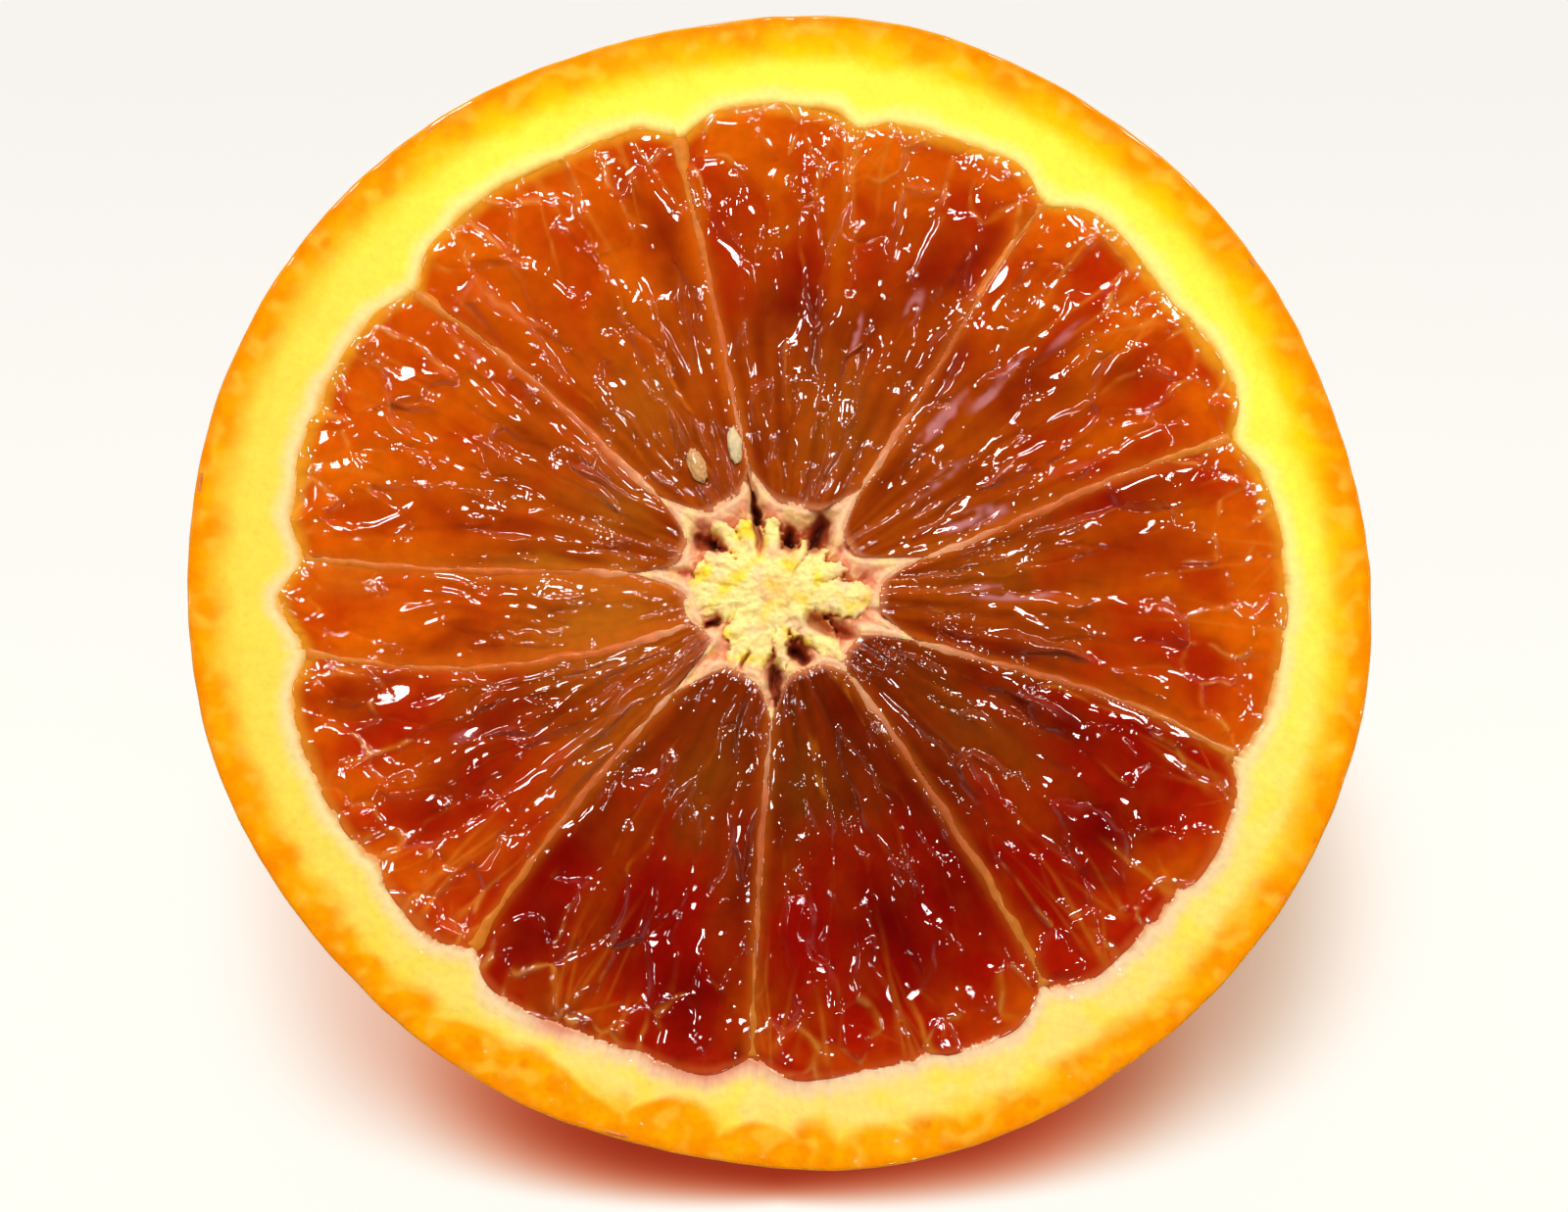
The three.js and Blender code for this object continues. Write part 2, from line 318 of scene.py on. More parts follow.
def locate(x, y):
    """Each point's segment, its share of the way across it and its share out from the tip."""
    radius = np.hypot(x, y)
    angle = np.arctan2(y, x)
    out = (radius - TIP_RADIUS) / (FLESH_RADIUS - TIP_RADIUS)
    for _ in range(LOCATE_ROUNDS):
        walls = wall_angles(np.clip(out, 0, 1))
        past = (angle[..., None] - walls) % TURN
        segment = past.argmin(-1)
        across = past.min(-1) / sector(walls, segment)[1]
        tip = tip_radius(segment, across)
        out = (radius - tip) / (flesh_radius(segment, across) - tip)
    return segment, across, out


# ---- meshes

def make_object(name, points, faces, material, tint=None, extra=None):
    """A smooth mesh piece from points in mm, with a colour and named numbers at each point."""
    mesh = bpy.data.meshes.new(name)
    mesh.from_pydata((np.asarray(points) * MM).tolist(), [], faces)
    mesh.update()
    mesh.polygons.foreach_set("use_smooth", np.ones(len(mesh.polygons), bool))
    if tint is not None:
        layer = mesh.attributes.new("tint", "FLOAT_COLOR", "POINT")
        rgba = np.concatenate([np.clip(tint, 0, None), np.ones((len(tint), 1))], 1)
        layer.data.foreach_set("color", rgba.astype(np.float32).ravel())
    for key, values in (extra or {}).items():
        layer = mesh.attributes.new(key, "FLOAT", "POINT")
        layer.data.foreach_set("value", np.asarray(values, np.float32))
    mesh.materials.append(material)
    piece = bpy.data.objects.new(name, mesh)
    bpy.context.scene.collection.objects.link(piece)
    return piece


def ring_faces(rings, columns):
    """Quads that join each ring of a grid to the next, each ring closed on itself."""
    i, j = np.meshgrid(np.arange(rings - 1), np.arange(columns), indexing="ij")
    a = i * columns + j
    b = i * columns + (j + 1) % columns
    return np.stack([a, b, b + columns, a + columns], -1).reshape(-1, 4).tolist()


def ring_points(rings, turn):
    """Points round the upright axis at these angles, from each ring's radii and heights."""
    return np.concatenate([np.stack([r * np.cos(turn), r * np.sin(turn), z + 0 * turn], 1) for r, z in rings])


def slab(mask, pitch, low_corner, heights, floor):
    """A closed slab over the marked points of a square grid, given their heights in order.
    Squares that would touch only at a corner are left out. Returns its points, its faces and,
    for each point, which marked point it came from."""
    rows, columns = mask.shape
    size = rows * columns
    corner = np.arange(size).reshape(rows, columns)
    marked = np.full(size, -1)
    marked[mask.ravel()] = np.arange(mask.sum())
    full = mask[:-1, :-1] & mask[1:, :-1] & mask[:-1, 1:] & mask[1:, 1:]
    around = [full[:-1, :-1], full[1:, 1:], full[1:, :-1], full[:-1, 1:]]
    for one, opposite, beside, across in (around, around[2:] + around[:2]):
        one &= ~opposite | beside | across
    quads = np.stack([corner[:-1, :-1], corner[1:, :-1], corner[1:, 1:], corner[:-1, 1:]], -1)[full]
    starts = quads.ravel()
    ends = np.roll(quads, -1, axis=1).ravel()
    lone = ~np.isin(starts * size + ends, ends * size + starts)
    used = np.unique(quads)
    place = np.full(size, -1)
    place[used] = np.arange(len(used))
    edge = np.unique(np.concatenate([starts[lone], ends[lone]]))
    below = np.full(size, -1)
    below[edge] = len(used) + np.arange(len(edge))
    source = np.concatenate([used, edge])
    x = low_corner + pitch * (source // columns)
    y = low_corner + pitch * (source % columns)
    z = np.concatenate([heights[marked[used]], np.full(len(edge), floor)])
    points = np.stack([x, y, z], 1)
    middle = np.append(points[len(used):, :2].mean(0), floor)
    points = np.vstack([points, middle])
    a, b = starts[lone], ends[lone]
    skirt = np.stack([place[b], place[a], below[a], below[b]], 1)
    base = np.stack([below[b], below[a], np.full(len(a), len(points) - 1)], 1)
    faces = place[quads].tolist() + skirt.tolist() + base.tolist()
    return points, faces, marked[np.append(source, source[-1])]


# ---- materials

class Nodes:
    """A material under construction, with short ways to add and join its nodes."""

    def __init__(self, name):
        self.material = bpy.data.materials.new(name)
        self.material.use_nodes = True
        self.tree = self.material.node_tree
        self.shader = self.tree.nodes["Principled BSDF"]

    def add(self, kind, inputs=(), **settings):
        node = self.tree.nodes.new("ShaderNode" + kind)
        for key, value in settings.items():
            setattr(node, key, value)
        for key, value in dict(inputs).items():
            self.feed(node.inputs[key], value)
        return node

    def feed(self, socket, value):
        if isinstance(value, bpy.types.NodeSocket):
            self.tree.links.new(value, socket)
        elif hasattr(value, "__len__") and len(value) == 3 and socket.type == "RGBA":
            socket.default_value = (*value, 1)
        else:
            socket.default_value = value

    def set(self, **sockets):
        for key, value in sockets.items():
            self.feed(self.shader.inputs[key.replace("_", " ")], value)

    def place(self):
        """The surface point in mm."""
        coords = self.add("TexCoord").outputs["Object"]
        scale = (1 / MM, 1 / MM, 1 / MM)
        return self.add("VectorMath", {0: coords, 1: scale}, operation="MULTIPLY").outputs[0]

    def attribute(self, name, output="Fac"):
        return self.add("Attribute", attribute_name=name).outputs[output]

    def noise(self, size, detail):
        inputs = {"Vector": self.place(), "Scale": 1 / size, "Detail": detail}
        return self.add("TexNoise", inputs).outputs["Fac"]

    def map(self, value, low, high, to_low=0.0, to_high=1.0, smooth=False):
        inputs = {"Value": value, "From Min": low, "From Max": high, "To Min": to_low, "To Max": to_high}
        kind = "SMOOTHSTEP" if smooth else "LINEAR"
        return self.add("MapRange", inputs, interpolation_type=kind).outputs["Result"]

    def math(self, operation, a, b):
        return self.add("Math", {0: a, 1: b}, operation=operation).outputs[0]

    def mix(self, share, a, b, blend="MIX"):
        node = self.add("Mix", data_type="RGBA", blend_type=blend)
        self.feed(node.inputs["Factor"], share)
        self.feed(node.inputs[6], a)
        self.feed(node.inputs[7], b)
        return node.outputs[2]

    def shade(self, colour, factor):
        """The colour made lighter or darker by a factor."""
        grey = self.add("CombineColor", {0: factor, 1: factor, 2: factor}).outputs[0]
        return self.mix(1.0, colour, grey, "MULTIPLY")

    def painted(self, grain, dark, light):
        """The colour painted on the points, mottled between a darker and a lighter factor."""
        mottle = self.map(self.noise(grain, 4), 0.3, 0.7, dark, light)
        return self.shade(self.attribute("tint", "Color"), mottle)

    def bump(self, height, distance, strength=1.0, below=None):
        inputs = {"Height": height, "Distance": distance * MM, "Strength": strength}
        if below is not None:
            inputs["Normal"] = below
        return self.add("Bump", inputs).outputs["Normal"]

    def beads(self, spacing, rare, reach, clumps):
        """Heights of small round drops, thrown at random and gathered in clumps."""
        cells = self.add("TexVoronoi", {"Vector": self.place(), "Scale": 1 / spacing})
        chance = self.add("SeparateColor", {0: cells.outputs["Color"]}).outputs[0]
        cluster = self.map(self.noise(clumps, 1), 0.49, 0.62)
        radius = self.math("MULTIPLY", self.map(chance, rare, 1.0, 0.0, reach), cluster)
        full, gone = (self.math("MULTIPLY", v, v) for v in (radius, cells.outputs["Distance"]))
        return self.math("MAXIMUM", self.math("SUBTRACT", full, gone), 0.0)


def flesh_material():
    """Juicy flesh under a film of juice, with ripples along the vesicles and small drops."""
    n = Nodes("wet_flesh")
    flow = n.add("CombineXYZ", {0: n.attribute("flow_across"), 1: n.attribute("flow_out")})
    ripple = n.add("TexNoise", {"Vector": flow.outputs[0], "Scale": 1.2, "Detail": 0.5})
    film = n.bump(n.math("MULTIPLY", ripple.outputs["Fac"], n.attribute("film")), 0.5)
    wet = n.bump(n.beads(1.5, 0.45, 0.34, 3.5), 1.2, 1.0, film)
    n.set(Base_Color=n.painted(0.8, 0.9, 1.08), Roughness=0.5, Specular_IOR_Level=0.0,
          Subsurface_Weight=0.12, Subsurface_Radius=(1.0, 0.35, 0.12), Subsurface_Scale=0.6 * MM,
          Coat_Weight=1.0, Coat_Roughness=0.02, Coat_IOR=1.42, Coat_Normal=wet)
    return n.material


def rind_material():
    """Moist cut skin and pith, with glittering crumbs low on the cut face."""
    n = Nodes("cut_rind")
    crumbs = n.math("MULTIPLY", n.beads(0.8, 0.2, 0.5, 1.5), n.attribute("grit"))
    n.set(Base_Color=n.painted(0.5, 0.95, 1.05), Roughness=0.5, Specular_IOR_Level=0.0,
          Subsurface_Weight=0.3, Subsurface_Radius=(1.0, 0.7, 0.25), Subsurface_Scale=0.7 * MM,
          Normal=n.bump(n.noise(0.32, 3), 0.04, 0.7),
          Coat_Weight=0.7, Coat_Roughness=0.04, Coat_IOR=1.4, Coat_Normal=n.bump(crumbs, 0.36))
    return n.material


def skin_material():
    """Waxy orange skin, pitted over its oil glands, with painted shade in the pits."""
    n = Nodes("orange_skin")
    glands = n.add("TexVoronoi", {"Vector": n.place(), "Scale": 1 / 1.25})
    pit = n.map(glands.outputs["Distance"], 0.02, 0.3, 0, 1)
    relief = n.bump(n.noise(0.4, 3), 0.02, 0.5, n.bump(pit, 0.12, 0.9))
    # The pits are painted darker than the skin round them: painted shade in each pit.
    n.set(Base_Color=n.shade(n.attribute("tint", "Color"), n.map(pit, 0, 1, 0.82, 1.02)),
          Roughness=0.4, Specular_IOR_Level=0.4, Subsurface_Weight=0.12,
          Subsurface_Radius=(1.0, 0.45, 0.1), Subsurface_Scale=0.7 * MM, Normal=relief,
          Coat_Weight=0.2, Coat_Roughness=0.25)
    return n.material


def soft_material(name, rough, gloss, grain, depth, scatter):
    """A moist crumbly tissue whose colour is painted on its points: pith, walls, seeds."""
    n = Nodes(name)
    n.set(Base_Color=n.painted(grain, 0.9, 1.08), Roughness=rough, Specular_IOR_Level=0.15,
          Subsurface_Weight=scatter, Subsurface_Radius=(1.0, 0.6, 0.25), Subsurface_Scale=0.6 * MM,
          Normal=n.bump(n.noise(grain * 0.6, 3), depth, 0.7), Coat_Weight=gloss, Coat_Roughness=0.1)
    return n.material


# ---- the peel

# How far the dome's rows go, as a share of the way round to the cut, which the rim completes.
DOME_REACH = 0.995


def make_peel(material):
    """The skin's dome, pebbled and pitted, closed by a shallow bowl under the cut face."""
    columns, rows = 450, 120
    dome_depth = CUT_HEIGHT / math.sqrt(1 - (REST_RADIUS / MEAN_RADIUS) ** 2)
    start = math.acos(CUT_HEIGHT / dome_depth)
    turn = np.linspace(0, TURN, columns, endpoint=False)
    polar = np.linspace(start, math.pi / 2 * DOME_REACH, rows)[:, None]
    polar, angle = np.broadcast_arrays(polar, turn)
    ball = np.stack([np.sin(polar) * np.cos(angle), np.sin(polar) * np.sin(angle), -np.cos(polar)])
    rise = pebbles(*(ball * MEAN_RADIUS)) * ramp(start, start + 0.12, polar)
    rise = rise * (1 - 0.5 * ramp(1.3, 1.5, polar))
    radius = (MEAN_RADIUS + wave_sum(OUTLINE_WAVES, angle) * np.sin(polar) ** 2 + rise) * np.sin(polar)
    rings = list(zip(radius, CUT_HEIGHT - dome_depth * np.cos(polar)))
    for inset, drop in ((0.08, 0.06), (0.3, 0.05), (0.7, 1.2), (1.9, CUT_HEIGHT - BOWL_FLOOR)):
        rings.append((radius[-1] - inset, CUT_HEIGHT - drop))
    points = np.vstack([ring_points(rings, turn), [0, 0, 0], [0, 0, BOWL_FLOOR]])
    last = (len(rings) - 1) * columns
    bottom, top = len(points) - 2, len(points) - 1
    faces = ring_faces(len(rings), columns)
    faces += [[(j + 1) % columns, j, bottom] for j in range(columns)]
    faces += [[last + j, last + (j + 1) % columns, top] for j in range(columns)]
    ripe = 0.5 + 0.45 * layered(14, 21, *points.T) + 0.15 * noise(1.6, 24, *points.T)
    tint = mix((238, 112, 4), (250, 146, 12), np.clip(ripe, 0, 1))
    tint = mix(tint, (205, 60, 18), 0.45 * ramp(0.1, 0.9, layered(20, 31, *points.T)))
    return make_object("peel", points, faces, material, tint)


# ---- the cut ring of rind

def make_rind(material):
    """The cut face of the peel, whose inner edge sinks under the edge of the flesh."""
    columns, rows = 1400, 44
    angle = np.linspace(0, TURN, columns, endpoint=False)
    segment = ((angle[:, None] - WALL_RIM) % TURN).argmin(1)
    across = ((angle - WALL_RIM[segment]) % TURN) / segment_angle(segment)
    low = lowness(angle)
    rise = pebbles(MEAN_RADIUS * np.cos(angle), MEAN_RADIUS * np.sin(angle), 0 * angle)
    outer = MEAN_RADIUS + wave_sum(OUTLINE_WAVES, angle) + 0.5 * rise + 0.05
    inner = flesh_radius(segment, across) - RIND_OVERLAP
    share = np.linspace(0, 1, rows)[:, None]
    radius = outer * (1 - share) + inner * share
    x, y = radius * np.cos(angle), radius * np.sin(angle)
    ragged = 0.14 * line_noise(1, 45, angle * 40) + 0.12 * line_noise(1, 48, angle * 130)
    to_flesh = radius - inner - RIND_OVERLAP + (0.4 + 0.9 * low) * ragged
    fine = 0.03 * (0.1 + 0.9 * ramp(0.2, 0.8, low))
    relief = 0.07 * layered(2.8, 43, x, y, layers=2) + fine * noise(0.5, 44, x, y)
    relief = relief * (1 - 0.5 * ramp(1, 0, to_flesh))
    sink = 0.03 * ramp(0.7, 0, to_flesh) + 0.45 * ramp(-0.08, -0.42, to_flesh)
    height = CUT_HEIGHT + relief - sink - 0.04 * (share == 0)
    rings = [(outer - 2.4, BOWL_FLOOR + 0.1), (outer - 0.75, CUT_HEIGHT - 1.5), *zip(radius, height),
             (inner + 0.02, CUT_HEIGHT - 1.2), (inner + 0.1, BOWL_FLOOR + 0.1)]
    last = (len(rings) - 1) * columns
    faces = ring_faces(len(rings), columns)
    faces += [[last + j, last + (j + 1) % columns, (j + 1) % columns, j] for j in range(columns)]
    tint = rind_tint(x, y, angle, outer - radius, to_flesh)
    tint = np.concatenate([tint[0], tint[0], *tint, tint[-1], tint[-1]])
    grit = np.tile(ramp(0.35, 0.9, low), len(rings))
    return make_object("cut_rind", ring_points(rings, angle), faces, material, tint, {"grit": grit})


def bottom_share(angle):
    """1 at the bottom of the cut face, where the skin's band is widest, and 0 far from it."""
    return np.clip(np.cos(angle - math.radians(256)), 0, 1) ** 3


def lowness(angle):
    """How far down the cut face a direction points, from 0 at the upper left to 1."""
    return ramp(-0.15, 0.85, -np.sin(angle - 0.12))


def gland_cover(angle, depth):
    """How strongly the oil glands, round and half hidden, cover each point of the skin's band."""
    rng = np.random.default_rng(47)
    cover = np.zeros(np.broadcast(angle, depth).shape)
    for row in range(2):
        middle = rng.uniform(0.25, 0.75, GLANDS)
        deep = rng.uniform(0.6, 1.2, GLANDS) + 1.1 * row
        size = rng.uniform(0.35, 0.75, GLANDS)
        strength = rng.uniform(-0.5, 1.0, GLANDS)
        place = (angle / TURN * GLANDS + 0.5 * row) % GLANDS
        cell = np.floor(place).astype(int) % GLANDS
        aside = (place % 1 - middle[cell]) * TURN * MEAN_RADIUS / GLANDS
        away = np.hypot(aside, depth - deep[cell]) / size[cell]
        cover = np.maximum(cover, strength[cell] * ramp(1.15, 0.6, away))
    return cover


def rind_tint(x, y, angle, depth, to_flesh):
    """The rind's colours: orange skin with oil glands, yellow pith and a soft inner edge."""
    low, bottom = lowness(angle), bottom_share(angle)
    left = ramp(0.4, 1, -np.cos(angle - 0.1))
    mottle = layered(2.5, 51, x, y)
    lemon = mix((276, 228, 14), (276, 258, 84), ramp(1.8, 3.8, depth + 0.5 * mottle))
    cream = mix((276, 222, 66), (276, 240, 126), ramp(1.6, 3.4, depth + 0.6 * mottle))
    cream = mix(cream, (276, 240, 80), 0.7 * ramp(-0.1, 0.6, noise(1.8, 53, x, y)))
    pith = mix(lemon, cream, low)
    pith = mix(pith, (264, 228, 92), 0.7 * left)
    inner = mix((276, 258, 150), (266, 226, 176), np.maximum(low, 0.7 * left))
    pith = mix(pith, inner, ramp(1.5, 0.3, to_flesh + 0.3 * mottle))
    orange = mix((276, 188, 6), (272, 162, 2), np.clip(0.5 + 0.7 * mottle, 0, 1))
    orange = mix(orange, (276, 206, 60), 0.65 * ramp(0, 0.6, noise(1.3, 55, x, y)))
    orange = mix(orange, (264, 138, 0), (0.35 + 0.2 * bottom) * gland_cover(angle, depth))
    edge = ramp(0.9, 0, depth + 0.3 * noise(1.1, 54, x, y))
    orange = mix(orange, (266, 138, 0), 0.7 * edge)
    lobes = np.abs(noise(1, 46, angle * MEAN_RADIUS / 4.2, depth / 5)) ** 0.7
    band = 1.95 + 0.4 * noise(2.5, 51, x, y) + (2.4 * lobes - 0.25) * bottom
    soft = 1.1 - 0.55 * bottom ** 0.5
    tint = mix(pith, orange, 1 - ramp(-soft, soft, depth - band))
    stain = bell(np.degrees(angle) - 262, 9) + bell(np.degrees(angle) - 243, 3)
    tint = mix(tint, (240, 110, 100), 0.7 * stain * ramp(1.3, 0, to_flesh))
    lip = ramp(0.5 - 0.1 * low, -0.25, to_flesh + 0.15 * mottle)
    return mix(tint, mix((262, 172, 40), (232, 142, 92), low), lip)


# ---- the flesh

# The vesicles' widths and lengths in mm, by the share of the way out to the rim.
CELL_WIDTH = ((0.0, 0.55), (0.2, 0.85), (0.45, 1.25), (0.7, 1.8), (0.88, 2.3), (1.0, 2.3))
CELL_LENGTH = ((0.0, 5.0), (0.2, 7.0), (0.45, 7.5), (0.7, 5.5), (0.88, 3.0), (1.0, 2.4))

# How often a vesicle is thrown at a segment, and how near two may lie, in their own sizes.
CELL_TRIES = 2600
CELL_ROOM = 0.86


def table(pairs, x):
    """The value at x between the nearest two pairs of a short table."""
    keys, values = zip(*pairs)
    return np.interp(x, keys, values)


def scatter_cells(segment, rng):
    """Centres of a segment's vesicles, as (across, radius, half width across, half length),
    thrown at random and kept where they have room."""
    kept = []
    for _ in range(CELL_TRIES):
        across = rng.uniform(-0.02, 1.02)
        radius = math.sqrt(rng.uniform(TIP_RADIUS ** 2, (FLESH_RADIUS + 0.8) ** 2))
        out = (radius - TIP_RADIUS) / (FLESH_RADIUS - TIP_RADIUS)
        vary = rng.uniform(0.75, 1.3)
        half_width = 0.5 * vary * table(CELL_WIDTH, out) / (segment_angle(segment) * radius)
        half_length = 0.5 * table(CELL_LENGTH, out) * rng.uniform(0.8, 1.25)
        for a, r, w, l in kept:
            if math.hypot((across - a) / (w + half_width), (radius - r) / (l + half_length)) < CELL_ROOM:
                break
        else:
            kept.append((across, radius, half_width, half_length))
    return np.array(kept)


def vesicles(segment, across, radius, cells):
    """For points of one segment: the nearest vesicle, the next one, the distance in mm to the
    wall between them, and the place within the nearest one in mm."""
    width = segment_angle(segment) * radius
    bend = 0.42 * noise(1, 200 + segment, radius / 3.2, across * 7)
    bend = (bend + 0.12 * noise(1, 250 + segment, radius / 1.1, across * 18)) / width
    wave = 0.6 * noise(1, 300 + segment, radius / 2.5, across * 9)
    wave = wave + 0.2 * noise(1, 350 + segment, radius, across * 20)
    da = (across + bend)[:, None] - cells[None, :, 0]
    dr = (radius + wave)[:, None] - cells[None, :, 1]
    distance = np.sqrt((da / cells[:, 2]) ** 2 + (dr / cells[:, 3]) ** 2) + 1e-6
    order = np.argpartition(distance, 1, axis=1)[:, :2]
    distance, da, dr = (np.take_along_axis(field, order, 1) for field in (distance, da, dr))
    slope_a = da / (cells[order, 2] ** 2 * width[:, None] * distance)
    slope_r = dr / (cells[order, 3] ** 2 * distance)
    steepness = np.hypot(np.diff(slope_a)[:, 0], np.diff(slope_r)[:, 0])
    to_wall = np.diff(distance)[:, 0] / np.maximum(steepness, 0.3)
    return order[:, 0], order[:, 1], to_wall, np.stack([da[:, 0] * width, dr[:, 0]], 1)


def patches(spots, x, y):
    """How strongly a list of spots, drawn out away from the core, covers each point."""
    total = 0
    for *place, length, width, strength in spots:
        along, aside = turned(x, y, place, outward(*place))
        total = total + strength * np.exp(-(along / length) ** 2 - (aside / width) ** 2)
    return np.clip(total, 0, 1)


def facets(x, y):
    """The facets' even slopes, which face the brightest card, and how strongly they cover each
    point."""
    rise, cover = 0, 0
    for *place, length, width in FACETS:
        along, aside = turned(x, y, place, outward(*place))
        window = np.exp(-np.hypot(along / length, aside / width) ** 4)
        rise = rise + (FACET_SLOPE[0] * (x - place[0]) + FACET_SLOPE[1] * (y - place[1])) * window
        cover = cover + window
    return rise, cover


def ridges(x, y):
    """Heights of long soft ridges of juice on the flesh, bowed a little to their left, and how
    near each point is to one."""
    crest, near = 0, np.zeros(x.shape)
    for n, (*place, direction, length, bow) in enumerate(RIDGES):
        along, aside = turned(x, y, place, heading(direction))
        aside = aside - bow * (1 - (along / length) ** 2)
        aside = aside + 0.12 * line_noise(1.3, 69, along, 9.1 * n)
        crest = crest + 0.1 * np.exp(-(along / length) ** 4 - (aside / 0.26) ** 2)
        near = np.maximum(near, np.exp(-(along / length) ** 4 - (aside / 0.6) ** 4))
    return crest, near


def meet(values, own, other, to_wall, reach):
    """Each vesicle's number, which nears its neighbour's toward the wall between them."""
    share = 0.5 * (1 - ramp(0, reach, to_wall))
    return values[own] * (1 - share) + values[other] * share


def vesicle_relief(segment, cells, nearest, out, rng):
    """Heights of vesicles that each have a level, a dome and a tilt of their own, with the tone
    of their juice and how firm the skin between them is."""
    own, other, to_wall, local = nearest
    count = len(cells)
    level = rng.normal(0, 0.06, count)
    half_width = cells[:, 2] * segment_angle(segment) * cells[:, 1]
    edge = np.clip(half_width * rng.uniform(0.6, 1.3, count), 0.15, 1.2)
    dome = 0.5 * edge * (0.05 + 0.45 * rng.uniform(size=count) ** 2)
    dome[rng.uniform(size=count) < 0.25] *= -0.8
    tilt = rng.normal(0, 0.05, (count, 2))
    tone = rng.uniform(size=count)
    firm = rng.uniform(size=(count, count))
    firm = ramp(0.2, 0.75, np.minimum(firm, firm.T)[own, other])
    apart = (cells[own, :2] - cells[other, :2]) * (segment_angle(segment) * 20, 1)
    lengthwise = np.abs(apart[:, 0]) / (np.hypot(*apart.T) + 1e-6)
    firm = firm * np.maximum(lengthwise ** 2, ramp(0.72, 0.9, out))
    bulge = 1 - (1 - np.clip(to_wall / edge[own], 0, 1)) ** 2
    height = meet(level, own, other, to_wall, 0.35)
    height = height + (dome[own] + (local * tilt[own]).sum(1)) * bulge
    return height + 0.08 * firm * bell(to_wall, 0.16), meet(tone, own, other, to_wall, 0.9), firm


def segment_surface(segment, across, out, x, y):
    """Heights, colours and wetness over one segment's flesh."""
    rng = np.random.default_rng(100 + segment)
    cells = scatter_cells(segment, rng)
    radius = np.hypot(x, y)
    nearest = vesicles(segment, across, radius, cells)
    height, tone, firm = vesicle_relief(segment, cells, nearest, out, rng)
    to_wall = nearest[2]
    flow = across * segment_angle(segment) * 14
    spread = segment_angle(segment) * radius / 15
    streak = noise(1, 62 + segment, flow / 0.8, radius / 6)
    stringy = streak * ramp(0.75, 0.3, out) + noise(1, 65, flow / 1.1, radius / 2.2)
    height = height + 0.05 * spread * stringy
    height = height + 0.09 * noise(2.4, 63, x, y) + 0.1 * noise(4.5, 67, x, y)
    side = wall_distance(segment, across, radius)
    dip = bell(side, 0.6)
    height = height * (1 - 0.8 * dip) * (1 - 0.5 * ramp(0.955, 1, out))
    rise, facet = facets(x, y)
    crest, near_crest = ridges(x, y)
    calm = 1 - 0.7 * near_crest
    height = height * (1 - 0.9 * facet) * calm + rise + crest
    rim_fall = 0.06 * ramp(0.955, 0.995, out) + 0.4 * ramp(1.002, 1.014, out)
    strands = fibres(segment, across, out, radius) + fold_walls(x, y)
    height = height - 0.05 * dip - rim_fall - 0.12 * ramp(0.03, -0.004, out) + 0.015 * strands
    turned_x, turned_y = 0.8 * x - 0.6 * y, 0.6 * x + 0.8 * y
    wetness = noise(3, 66, turned_x, turned_y) + 0.35 * noise(1.1, 68, turned_y, turned_x)
    film = 0.04 + 0.56 * ramp(0, 0.5, wetness) * (0.4 + 0.6 * bell(to_wall, 0.25))
    film = film * (1 - 0.8 * facet) * calm
    tint = flesh_tint(segment, out, x, y, side, tone, firm, to_wall, streak, strands)
    fields = {"flow_across": flow, "flow_out": radius * 0.6 + 50 * segment, "film": film}
    return CUT_HEIGHT + height, tint, fields


def fibres(segment, across, out, radius):
    """How strongly thin pale fibres, which fan in from a few roots at the rim, cover each point."""
    rng = np.random.default_rng(500 + segment)
    roots = rng.uniform(0.05, 0.95, 2 + FIBRES[segment] // 4)
    cover = np.zeros(across.shape)
    for _ in range(FIBRES[segment]):
        start = rng.choice(roots) + rng.normal(0, 0.015)
        lean = rng.normal(0, 0.1)
        first, last = rng.uniform(0.93, 1.02), rng.uniform(0.55, 0.88)
        thick, strength = rng.uniform(0.06, 0.19), rng.uniform(0.2, 0.85)
        share = (first - out) / (first - last)
        line = start + lean * share + 0.025 * share * line_noise(1, 90, out * 6, start * 50)
        aside = (across - line) * segment_angle(segment) * radius
        spread = thick * (1 + 1.5 * ramp(0.25, 0, share))
        ends = ramp(-0.1, 0.15, share) * ramp(1, 0.2, share)
        cover = np.maximum(cover, strength * ends * bell(aside, spread))
    return cover


def fold_walls(x, y):
    """How strongly the short walls under the rind's folds cover each point."""
    radius, angle = np.hypot(x, y), np.arctan2(y, x)
    inward = FLESH_RADIUS - radius
    thick = 0.14 + 0.16 * ramp(1.5, 0, inward)
    cover = np.zeros(x.shape)
    for fold, _, _, reach in FOLDS:
        aside = turn_from(angle, fold) * radius + 0.2 * line_noise(1.7, 97, radius, fold)
        cover = np.maximum(cover, ramp(reach, 0.4 * reach, inward) * bell(aside, thick))
    return cover


def dimmed(dark, share, *colour):
    """A screen colour in the shade of a dark segment."""
    return srgb(*colour) * (1 - share * max(dark, 0))


